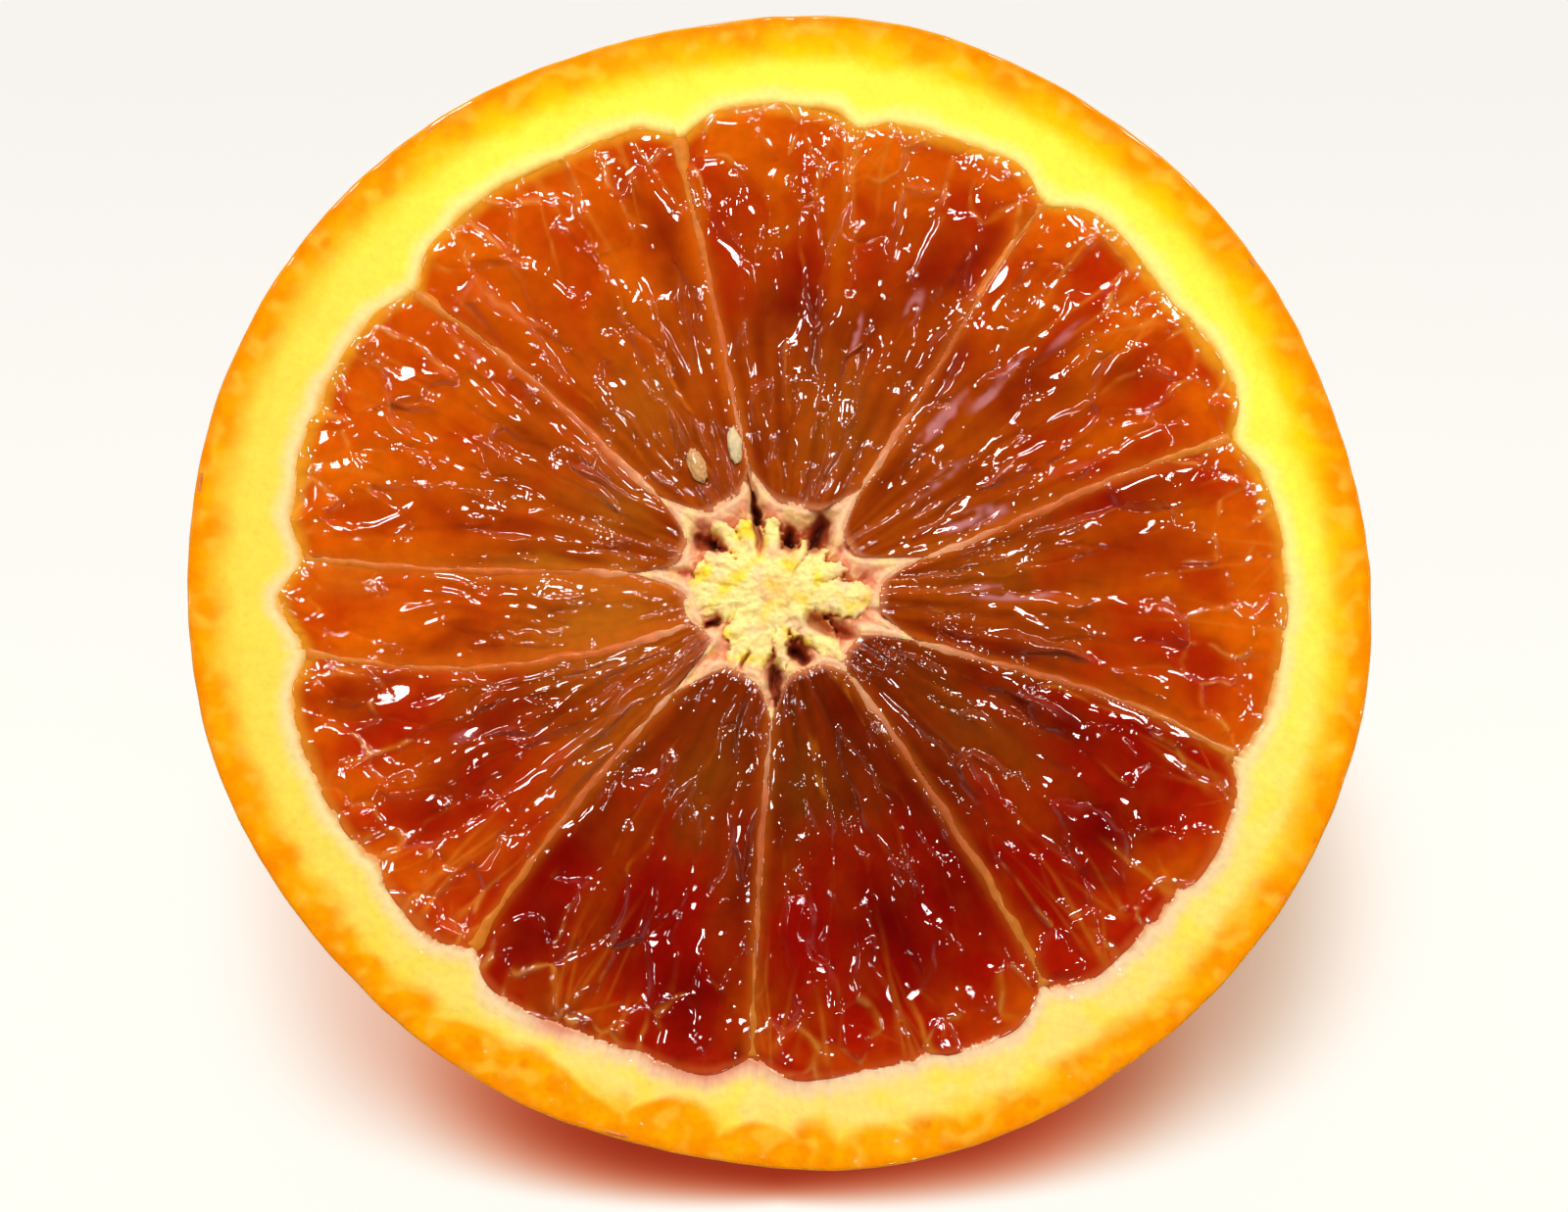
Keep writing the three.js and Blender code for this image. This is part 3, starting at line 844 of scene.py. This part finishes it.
def flesh_tint(segment, out, x, y, side, tone, firm, to_wall, streak, strands):
    """The flesh's colours, from the juice up: red and wine stains, gold, a painted lilac sheen and membranes.
    """
    dark = SEGMENT_DARK[segment]
    deep = ramp(0.05, 0.45, dark)
    cloud = layered(4.5, 71, x, y)
    light_amber = mix((196, 84, 10), (196, 62, 10), deep)
    amber = mix((146, 46, 3), light_amber, np.clip(0.5 + 0.6 * streak, 0, 1))
    orange = mix((228, 98, 2), (200, 62, 2), np.clip(tone + 0.3 * cloud, 0, 1))
    base = mix(amber, orange, ramp(0.25, 0.75, out + 0.15 * cloud))
    base = base * (1 - dark * ramp(1, 0.7, out) - 0.1 * dark * ramp(0.75, 1, out))[:, None]
    redness = SEGMENT_RED[segment] * ramp(0.1, 0.75, out) + 0.25 * (tone - 0.5) + 0.3 * cloud
    redness = redness - 0.3 * (1 - dark) * ramp(0.84, 1, out)
    deep_red = mix((156, 9, 2), (180, 20, 3), ramp(0.8, 0.96, out))
    base = mix(base, mix((184, 28, 4), deep_red, deep), 0.95 * ramp(0.05, 1, redness))
    warped_place = warped(x, y, 0.9, 2.6, 73)
    base = mix(base, dimmed(dark, 1.3, 204, 116, 22), 0.8 * patches(GOLD_FLESH, *warped_place))
    wine = mix((122, 5, 4), (104, 3, 2), deep)
    base = mix(base, wine, 0.95 * patches(STAINS, *warped_place) * (0.8 + 0.3 * tone))
    base = base * (1 + 0.13 * ramp(0.78, 0.92, out) * (1 - deep))[:, None]
    torn = streak + 0.3 * cloud + 0.5 * noise(0.7, 76, x, y)
    # Painted lilac sheen: soft pale reflections painted into the colour as streaks, torn by noise.
    painted_sheen = ramp(0.15, 0.55, patches(PAINTED_LILAC_SHEEN, x, y)) * ramp(-0.3, 0.3, torn)
    base = mix(base, (220, 142, 142), 0.7 * painted_sheen)
    membrane = bell(to_wall, 0.09 + 0.22 * ramp(0.7, 0.97, out)) * (0.05 + 0.95 * firm)
    membrane = membrane * ramp(-0.5, 0.5, noise(1.8, 72, x, y))
    base = mix(base, dimmed(dark, 0.65, 236, 122, 24), 0.78 * membrane)
    line = bell(to_wall, 0.12) * firm * ramp(0.6, 0.85, out) * ramp(-0.2, 0.3, noise(1.4, 75, x, y))
    base = mix(base, dimmed(dark, 0.6, 250, 158, 66), 0.75 * line)
    base = mix(base, dimmed(dark, 0.6, 222, 106, 24), 0.65 * bell(side, 0.45))
    base = mix(base, dimmed(dark, 0.5, 238, 128, 34), 0.8 * strands)
    base = mix(base, (232, 142, 92), 0.7 * ramp(0.025, 0, out))
    low = lowness(np.arctan2(y, x))
    edge = mix((252, 164, 34), (214, 98, 44), low)
    return mix(base, edge, (0.9 - 0.4 * low) * ramp(0.955 + 0.02 * low, 1.0, out + 0.01 * cloud))


def make_flesh(material):
    """The ten segments, as pieces of one grid of points over the cut face."""
    pitch = 0.1
    x, y = square_grid(FLESH_GRID, pitch)
    near = np.hypot(x, y) < FLESH_RADIUS + 1.4
    segment = np.full(x.shape, -1)
    across, out = np.zeros(x.shape), np.full(x.shape, 9.0)
    segment[near], across[near], out[near] = locate(x[near], y[near])
    pieces = []
    for k in range(SEGMENTS):
        mask = (segment == k) & (out > FLESH_BEGINS) & (out < FLESH_ENDS)
        heights, tint, fields = segment_surface(k, across[mask], out[mask], x[mask], y[mask])
        points, faces, source = slab(mask, pitch, FLESH_GRID, heights, SEGMENT_FLOOR)
        fields = {key: values[source] for key, values in fields.items()}
        pieces.append(make_object(f"segment_{k + 1:02d}", points, faces, material, tint[source], fields))
    return pieces


# ---- walls and core

# How much the middle of each wall takes the colour of the flesh beside it.
FAINTNESS = (0.2, 0.3, 0.3, 0.3, 0.9, 0.9, 0.4, 0.1, 0.2, 0.4)

# A wall's section: places aside, in its half widths, and heights in mm over its top.
WALL_SECTION = (
    (-1.5, -1.2), (-1.5, -0.24), (-1, -0.1), (-0.5, -0.03), (0, 0), (0.5, -0.03), (1, -0.1),
    (1.5, -0.24), (1.5, -1.2))


def wall_path(wall, share):
    """The line of one wall, from the core (0) to the notch in the rind (1)."""
    before = (wall - 1) % SEGMENTS
    zero, one = np.zeros_like(share), np.ones_like(share)
    tip = 0.5 * (tip_radius(wall, zero) + tip_radius(before, one))
    rim = 0.5 * (flesh_radius(wall, zero) + flesh_radius(before, one))
    start = ARM_ENDS[wall] - 1.3
    radius = start + (rim - start) * share
    out = np.clip((radius - tip) / (rim - tip), 0, 1)
    return radius, wall_angles(out)[..., wall]


def wall_tint(wall, share, radius):
    """One wall's colours: pale by the core, orange by the rind, faint between."""
    dark = 0.5 * (SEGMENT_DARK[wall] + SEGMENT_DARK[wall - 1])
    tint = mix((226, 110, 50), (256, 182, 130), ramp(0.35, 0.05, share))
    tint = mix(tint, (240, 138, 30), ramp(0.45, 0.9, share)) * (1 - 0.5 * max(dark, 0))
    tint = mix(tint, dimmed(dark, 0.7, 220, 102, 10), FAINTNESS[wall] * np.sin(np.pi * share) ** 0.7)
    return tint * (1 + 0.12 * line_noise(0.8, 85, radius, wall * 2.2))[:, None]


def make_walls(material):
    """The skins between the segments: thin soft ridges from the core to the rind."""
    points, faces, tints = [], [], []
    count, sides = 330, len(WALL_SECTION)
    share = np.linspace(0, 1, count)
    for k in range(SEGMENTS):
        radius, angle = wall_path(k, share)
        path = np.stack([radius * np.cos(angle), radius * np.sin(angle)], 1)
        run = np.gradient(path, axis=0)
        run /= np.linalg.norm(run, axis=1)[:, None]
        left = np.stack([-run[:, 1], run[:, 0]], 1)
        wobble = 0.1 * line_noise(1.8, 82, radius, k * 3.3)
        wobble = wobble + 0.05 * line_noise(0.6, 84, radius, k * 3.3)
        half = 0.29 + 0.12 * ramp(0.3, 0, share) + 0.14 * ramp(0.88, 1, share)
        half = half + 0.04 * line_noise(1.3, 81, radius, k * 5.1)
        half = half * (0.25 + 0.75 * ramp(0.02, 0.17, share))
        ends = ramp(0.09, 0, share) + 0.3 * ramp(0.985, 1, share)
        top = CUT_HEIGHT + 0.05 * line_noise(1.5, 83, radius, k * 7.7) - 0.7 * ends
        for offset, drop in WALL_SECTION:
            points.append(np.column_stack([path + left * (wobble + offset * half)[:, None], top + drop]))
        tints += [wall_tint(k, share, radius)] * sides
        base = k * sides * count
        for i in range(sides):
            a, b = base + i * count, base + ((i + 1) % sides) * count
            faces += [[b + j, b + j + 1, a + j + 1, a + j] for j in range(count - 1)]
        faces.append([base + i * count for i in range(sides)])
        faces.append([base + i * count + count - 1 for i in reversed(range(sides))])
    return make_object("segment_walls", np.concatenate(points), faces, material, np.concatenate(tints))


# Arms of the pith star: direction in degrees, reach in mm, width at the root and at the tip.
PITH_ARMS = (
    (184, 6.7, 3.6, 1.8), (167, 5.4, 2.4, 1.3), (198, 5.6, 2.4, 1.4), (155, 5.1, 2.4, 1.1),
    (134, 6, 1.8, 1), (118, 4.8, 2.4, 1.6), (97, 4.5, 1.3, 1.1), (78, 2.9, 1.8, 0.7),
    (61, 3.6, 1.6, 0.5), (42, 3.9, 2.4, 0.8), (19, 4.3, 2.4, 1), (350, 5.6, 3.2, 1.6), (357, 7, 2.4, 1),
    (311, 6.1, 1.9, 1.8), (290, 3.2, 1.6, 0.7), (272, 5, 1.3, 0.9), (256, 5.6, 1.8, 0.9),
    (243, 5.7, 3, 2.4), (223, 4.6, 2, 1.2))

# How far the round heart of the pith reaches from the middle, in mm.
PITH_HEART = 2.6

# Hollows torn between the arms: x, y, direction in degrees, half length, half width and depth.
HOLLOWS = (
    (-1.35, 4.1, 98, 1.9, 0.24, 2), (-1.8, 6.4, 99, 0.9, 0.12, 0.8), (2.4, 3.5, 74, 1.3, 0.55, 1.7),
    (0.6, 3.1, 88, 0.9, 0.38, 1.4), (-4.4, 2.9, 165, 1, 0.55, 1.5), (-4.1, -1.95, 20, 0.55, 0.33, 1.6),
    (2.5, -2.1, 325, 0.9, 0.42, 2), (4, -2.7, 340, 0.9, 0.5, 1.2), (1.3, -4, 318, 0.8, 0.45, 2),
    (-0.2, -5.9, 92, 1.3, 0.45, 1.8), (-0.15, -7.3, 92, 0.7, 0.14, 0.7),
    (-2.1, -4.4, 70, 0.6, 0.13, 0.9), (4.6, 2.9, 40, 1.1, 0.35, 0.9), (-6, 1, 172, 1.2, 0.2, 0.5),
    (-4.6, -4.6, 228, 1.6, 0.25, 0.6), (6.4, -1.6, 340, 1.2, 0.2, 0.5))


def pith_surface(x, y, crumb):
    """Heights of the ragged star of pith."""
    bend_x, bend_y = (p + (0.2 * noise(0.9, 91 + i, x, y) + 0.1 * noise(0.34, 93 + i, x, y))
                      for i, p in enumerate((x, y)))
    fray = 0.2 * noise(0.36, 101, x, y) + 0.1 * noise(0.17, 102, x, y)
    radius = np.hypot(bend_x, bend_y)
    pith = -0.15 - 0.35 * bell(radius, 0.8) - 2.2 * ramp(-0.2, 0.6, radius - PITH_HEART + fray)
    for n, (direction, reach, root, tip) in enumerate(PITH_ARMS):
        along, aside = turned(bend_x, bend_y, (0, 0), heading(direction))
        share = np.clip(along / reach, 0, 1)
        half = 0.5 * (root + (tip - root) * share)
        past = np.maximum(np.maximum(along - reach + half, -along), 0)
        gap = np.hypot(aside, past) - half + fray
        level = 0.14 * math.sin(2.6 * n)
        top = level + 0.04 - 0.15 * share ** 2 - 0.35 * (aside / half) ** 2
        arm = top - 2.4 * ramp(-0.2, 0.4, gap) + 0.08 * noise(1, 120 + n, aside / 0.4, along / 1.4)
        pith = np.maximum(pith, np.where(gap < 1.5, arm, -9.0))
    return pith + 0.13 * crumb


def hollow_depth(x, y):
    """How deep the torn hollows lie below the tissue round them."""
    x, y = warped(x, y, 0.15, 0.7, 105)
    pull = 0
    for *place, direction, length, width, depth in HOLLOWS:
        along, aside = turned(x, y, place, heading(direction))
        pull = pull + depth * np.exp(-(along / length) ** 4 - (aside / width) ** 2)
    return pull


def core_heights(x, y, inward):
    """Heights of the torn tissue of the core and the ragged pith on it, given how far in from
    the segments' tips each point is, and how much each point is of pith."""
    crumb = layered(0.7, 95, x, y)
    folds = 1 - 2 * np.abs(noise(1.1, 98, x, y))
    tissue = -0.11 + 0.13 * ramp(0, 0.3, inward) - 0.8 * ramp(0, 1.5, inward + 0.1 * crumb)
    tissue = tissue - 0.7 * ramp(1.1, 2.4, inward + 0.25 * crumb) - 0.05 * np.abs(crumb)
    tissue = tissue + 0.25 * folds * ramp(0.5, 1.1, inward)
    pith = pith_surface(x, y, crumb)
    return np.maximum(pith, tissue) - hollow_depth(x, y), ramp(-0.08, 0.2, pith - tissue)


def spread_out(field, times):
    """A grid of numbers, each averaged with its neighbours this many times."""
    for _ in range(times):
        field = (field + np.roll(field, 1, 0) + np.roll(field, -1, 0)
                 + np.roll(field, 1, 1) + np.roll(field, -1, 1)) / 5
    return field


def core_tint(x, y, inward, height, pithy):
    """The core's colours: pinkish tissue and cream pith, with painted shade, warm in the creases and
    dark in the hollows, and painted light, paler on the ridges.
    """
    radius = np.hypot(x, y)
    crease = spread_out(height, 8) - height
    streaks = noise(1, 87, 5 * np.arctan2(y, x), radius / 4) + 0.5 * noise(0.4, 86, x, y)
    skin = mix((262, 186, 138), (278, 214, 168), ramp(0, 0.3, inward))
    skin = mix(skin, (246, 156, 114), ramp(0.25, 0.8, inward + 0.35 * streaks))
    skin = mix(skin, (208, 112, 70), 0.8 * ramp(0.7, 1.7, inward + 0.3 * streaks))
    skin = mix(skin, (280, 232, 154), 0.75 * ramp(0, 0.5, noise(1.2, 88, x, y)))
    # Painted light and shade on the tissue: paler on ridges, darker brown in creases, and darker still, down
    # to nearly black, where it falls low into the hollows.
    skin = mix(skin, (276, 228, 160), 0.8 * ramp(0, -0.1, crease))
    skin = mix(skin, (186, 84, 42), 0.6 * ramp(0.03, 0.15, crease))
    skin = mix(skin, (180, 78, 40), ramp(-0.7, -1.3, height))
    skin = mix(skin, (100, 34, 12), ramp(-1.3, -2.5, height))
    lemon = ramp(-0.05, 0.6, noise(1.3, 99, x, y))
    pale = mix((280, 246, 160), (280, 236, 66), lemon)
    pale = mix(pale, (276, 222, 168), 0.8 * ramp(0.05, 0.6, noise(1.6, 89, x, y)))
    pale = mix(pale, (272, 206, 150), 0.6 * ramp(4.4, 6.4, radius))
    pale = mix(pale, (276, 206, 110), 0.8 * bell(radius, 0.9))
    # Painted shade on the pith: warm orange in its creases and tan brown where it lies low.
    pale = mix(pale, (264, 196, 90), 0.9 * ramp(0.02, 0.14, crease))
    pale = mix(pale, (226, 146, 90), ramp(-0.35, -1.2, height))
    return mix(skin, pale, pithy)


def make_core(material):
    """The core: tissue that falls away from the segments' tips, under a star of pith."""
    pitch = 0.055
    x, y = square_grid(CORE_GRID, pitch)
    out = locate(x, y)[2]
    within = out < 0
    mask = (out < CORE_ENDS) & (np.hypot(x, y) < -CORE_GRID - 0.1)
    beside = [np.roll(within, step, axis) for axis in (0, 1) for step in (1, -1)]
    edge = within & ~np.logical_and.reduce(beside)
    tree = KDTree(int(edge.sum()))
    for i, (a, b) in enumerate(zip(x[edge], y[edge])):
        tree.insert((a, b, 0), i)
    tree.balance()
    inward = np.zeros(x.shape)
    inward[within] = [tree.find((a, b, 0))[2] for a, b in zip(x[within], y[within])]
    height, pithy = core_heights(x, y, inward)
    tint = core_tint(x, y, inward, height, pithy)[mask]
    heights = CUT_HEIGHT + height[mask] - 0.5 * (out[mask] > 0.008)
    points, faces, source = slab(mask, pitch, CORE_GRID, heights, SEGMENT_FLOOR)
    return make_object("core", points, faces, material, tint[source])


# Two undeveloped seeds: x, y, direction in degrees, half length, half width in mm. Both are this
# thick, and their middles are this far over the cut.
SEEDS = ((-5.0, 7.5, 112, 1.05, 0.52), (-2.7, 8.75, 98, 1.1, 0.42))
SEED_HALF_THICK = 0.34
SEED_RISE = 0.14


def make_seeds(material):
    """The undeveloped seeds: shrivelled pale flakes that lie half sunk in the flesh."""
    build = bmesh.new()
    tints = []
    for n, (seed_x, seed_y, direction, length, width) in enumerate(SEEDS):
        made = bmesh.ops.create_icosphere(build, subdivisions=5, radius=1)["verts"]
        c, s = heading(direction)
        unit = np.array([v.co for v in made])
        lump = 1 + 0.14 * layered(1, 111 + n, *(unit * 2.2).T)
        px, py = unit[:, 0] * length * lump, unit[:, 1] * width * lump
        pz = unit[:, 2] * SEED_HALF_THICK * lump + SEED_RISE
        for v, a, b, z in zip(made, px, py, pz):
            v.co = Vector((seed_x + a * c - b * s, seed_y + a * s + b * c, CUT_HEIGHT + z))
        shade = np.clip(0.5 + 0.6 * noise(1, 115 + n, *(unit * 3).T), 0, 1)
        warm = (srgb(236, 176, 112), srgb(250, 222, 170))[n]
        tints.append(mix(warm * 0.8, warm, shade))
    build.verts.index_update()
    points = [v.co[:] for v in build.verts]
    faces = [[v.index for v in f.verts] for f in build.faces]
    build.free()
    return make_object("undeveloped_seeds", points, faces, material, np.concatenate(tints))


# ---- the studio

# The floor's warm shade, in metres: how far in front of the fruit's axis its oval lies, and its
# half width and half depth.
OVAL_FRONT = 0.017
OVAL_HALVES = (0.0402, 0.0207)

# The two parts of the shade: the x that each lies round, how far from there it is full and where
# it has gone, all in metres, and its depth. A depth of 1 leaves these shares of the light's red,
# green and blue.
SHADE_MIDDLE = (0.0015, 0.010, 0.0275, 2.3)
SHADE_SIDES = (0.0035, 0.018, 0.043, 1.22)
SHADE_RED, SHADE_GREEN, SHADE_BLUE = 0.37, 0.37, 0.275

# Half the floor's width, in mm.
FLOOR_HALF = 3000


def make_floor():
    """A pale floor that glows, so the fruit's own shadow stays faint, with a low oval of warm
    shade round the fruit, which takes blue and green before red and is deepest in the middle."""
    n = Nodes("pale_floor")
    place = n.add("TexCoord").outputs["Object"]
    x, y, _ = n.add("SeparateXYZ", {0: place}).outputs
    moved = n.add("VectorMath", {0: place, 1: (0, OVAL_FRONT, 0)}, operation="ADD").outputs[0]
    size = tuple(1 / half for half in OVAL_HALVES) + (1,)
    oval = n.add("VectorMath", {0: moved, 1: size}, operation="MULTIPLY").outputs[0]
    away = n.add("VectorMath", {0: oval}, operation="LENGTH").outputs["Value"]

    def beside(middle):
        """How far left or right of this x the floor's points are, in metres."""
        return n.math("ABSOLUTE", n.math("SUBTRACT", x, middle), 0)

    middle, sides = (n.map(beside(line), near, far, strength, 0.0, smooth=True)
                     for line, near, far, strength in (SHADE_MIDDLE, SHADE_SIDES))
    full, bare = n.map(beside(0), 0, 0.02, 0.88, 0.78), n.map(beside(0), 0, 0.03, 1.0, 1.12)
    within = n.map(away, full, bare, 1.0, 0.0, smooth=True)
    depth = n.math("MULTIPLY", n.math("ADD", middle, sides), within)
    deep = n.math("MAXIMUM", n.math("SUBTRACT", depth, 0.1), 0)
    red_depth = n.math("MULTIPLY", deep, n.map(x, 0.018, 0.035, 0.31, 0.66))
    kept = [n.math("POWER", *light) for light in
            ((SHADE_RED, red_depth), (SHADE_GREEN, depth), (SHADE_BLUE, depth))]
    shade = n.add("CombineColor", dict(enumerate(kept))).outputs[0]
    paper = n.mix(n.map(y, 0.04, -0.01), srgb(244, 241, 236), srgb(254, 253, 244))
    n.set(Base_Color=(0.02, 0.02, 0.02), Roughness=0.6, Specular_IOR_Level=0.0,
          Emission_Color=n.mix(1.0, paper, shade, "MULTIPLY"), Emission_Strength=LIGHT_LEVEL)
    corners = [(a * FLOOR_HALF, b * FLOOR_HALF, 0) for a, b in ((-1, -1), (1, -1), (1, 1), (-1, 1))]
    floor = make_object("floor", corners, [[0, 1, 2, 3]], n.material)


def aimed(data, aim, azimuth, elevation, distance):
    """A light or camera at a distance in metres from a place, turned to face it. Azimuth 0 is the
    near side and 90 the right, in degrees."""
    a, e = math.radians(azimuth), math.radians(elevation)
    away = Vector((math.sin(a) * math.cos(e), -math.cos(a) * math.cos(e), math.sin(e)))
    item = bpy.data.objects.new(data.name, data)
    item.location = aim + away * distance
    item.rotation_euler = away.to_track_quat("Z", "Y").to_euler()
    bpy.context.scene.collection.objects.link(item)
    return item


def make_light(name, azimuth, elevation, distance, size, power, colour):
    """A soft square light that faces the middle of the cut. Lengths are in metres."""
    data = bpy.data.lights.new(name, "AREA")
    data.size = size
    data.energy = power
    data.color = colour
    return aimed(data, Vector((0, 0, CUT_HEIGHT * MM)), azimuth, elevation, distance)


def make_sky():
    """Bright at the horizon, like the pale room, and dark overhead, so that wet flesh keeps its
    own colour."""
    world = bpy.data.worlds.new("studio")
    world.use_nodes = True
    nodes, links = world.node_tree.nodes, world.node_tree.links
    coords = nodes.new("ShaderNodeTexCoord")
    split = nodes.new("ShaderNodeSeparateXYZ")
    fade = nodes.new("ShaderNodeValToRGB")
    stops = fade.color_ramp.elements
    stops[0].position, stops[0].color = 0.12, (0.9, 0.89, 0.87, 1)
    stops[1].position, stops[1].color = 0.85, (0.015, 0.015, 0.015, 1)
    stops.new(0.4).color = (0.2, 0.195, 0.19, 1)
    links.new(coords.outputs["Generated"], split.inputs[0])
    links.new(split.outputs["Z"], fade.inputs["Fac"])
    links.new(fade.outputs["Color"], nodes["Background"].inputs["Color"])
    bpy.context.scene.world = world


# Bright cards that only show as glints on wet flesh: azimuth and elevation in degrees and size in
# metres. Each is this far off, in metres, and as bright as the others.
GLINT_CARDS = (
    (214, 59, 0.095), (146, 59, 0.09), (180, 60, 0.075), (262, 57, 0.055), (98, 57, 0.055),
    (20, 60, 0.045))
CARD_DISTANCE = 0.7
GLINT_BRIGHTNESS = 62

# The soft light for form: azimuth, elevation, distance and size in metres, and power in watts.
KEY = (180, 64, 0.8, 0.45, 6.6 * LIGHT_LEVEL)


def make_studio():
    """The floor, the sky, one soft light for form and the cards for glints."""
    make_floor()
    make_sky()
    key = make_light("soft_key", *KEY, (1.0, 0.99, 0.97))
    key.visible_glossy = False
    for number, (azimuth, elevation, size) in enumerate(GLINT_CARDS):
        power = GLINT_BRIGHTNESS * math.pi * size ** 2
        card = make_light(f"glint_card_{number + 1}", azimuth, elevation, CARD_DISTANCE, size, power,
                          (1.0, 0.98, 0.97))
        card.visible_diffuse = False
    bpy.context.scene.view_settings.view_transform = "Standard"


# Where the camera looks, in mm, and from how high in degrees and how far off in metres.
CAMERA_AIM = (0.3, -1.05, CUT_HEIGHT)
CAMERA_ELEVATION = 85
CAMERA_DISTANCE = 0.3965


def make_camera():
    """Looks down on the cut face from just on the near side of straight above."""
    data = bpy.data.cameras.new("camera")
    data.lens = 150
    data.sensor_width = 36
    data.clip_start = 0.02
    aim = Vector(CAMERA_AIM) * MM
    bpy.context.scene.camera = aimed(data, aim, 0, CAMERA_ELEVATION, CAMERA_DISTANCE)


# ---- the whole

def show(piece):
    """Puts a piece in the solid's place, under the fruit's body, and hides the imported solid."""
    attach(piece, "root")
    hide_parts(NODE)


make_camera()
make_studio()
wall_tissue = soft_material("segment_wall", 0.5, 0.12, 0.5, 0.02, 0.3)
core_tissue = soft_material("core_tissue", 0.6, 0.05, 0.3, 0.02, 0.5)
seed_skin = soft_material("seed_skin", 0.5, 0.3, 0.4, 0.02, 0.3)
show(make_peel(skin_material()))
show(make_rind(rind_material()))
for flesh in make_flesh(flesh_material()):
    show(flesh)
show(make_walls(wall_tissue))
show(make_core(core_tissue))
show(make_seeds(seed_skin))
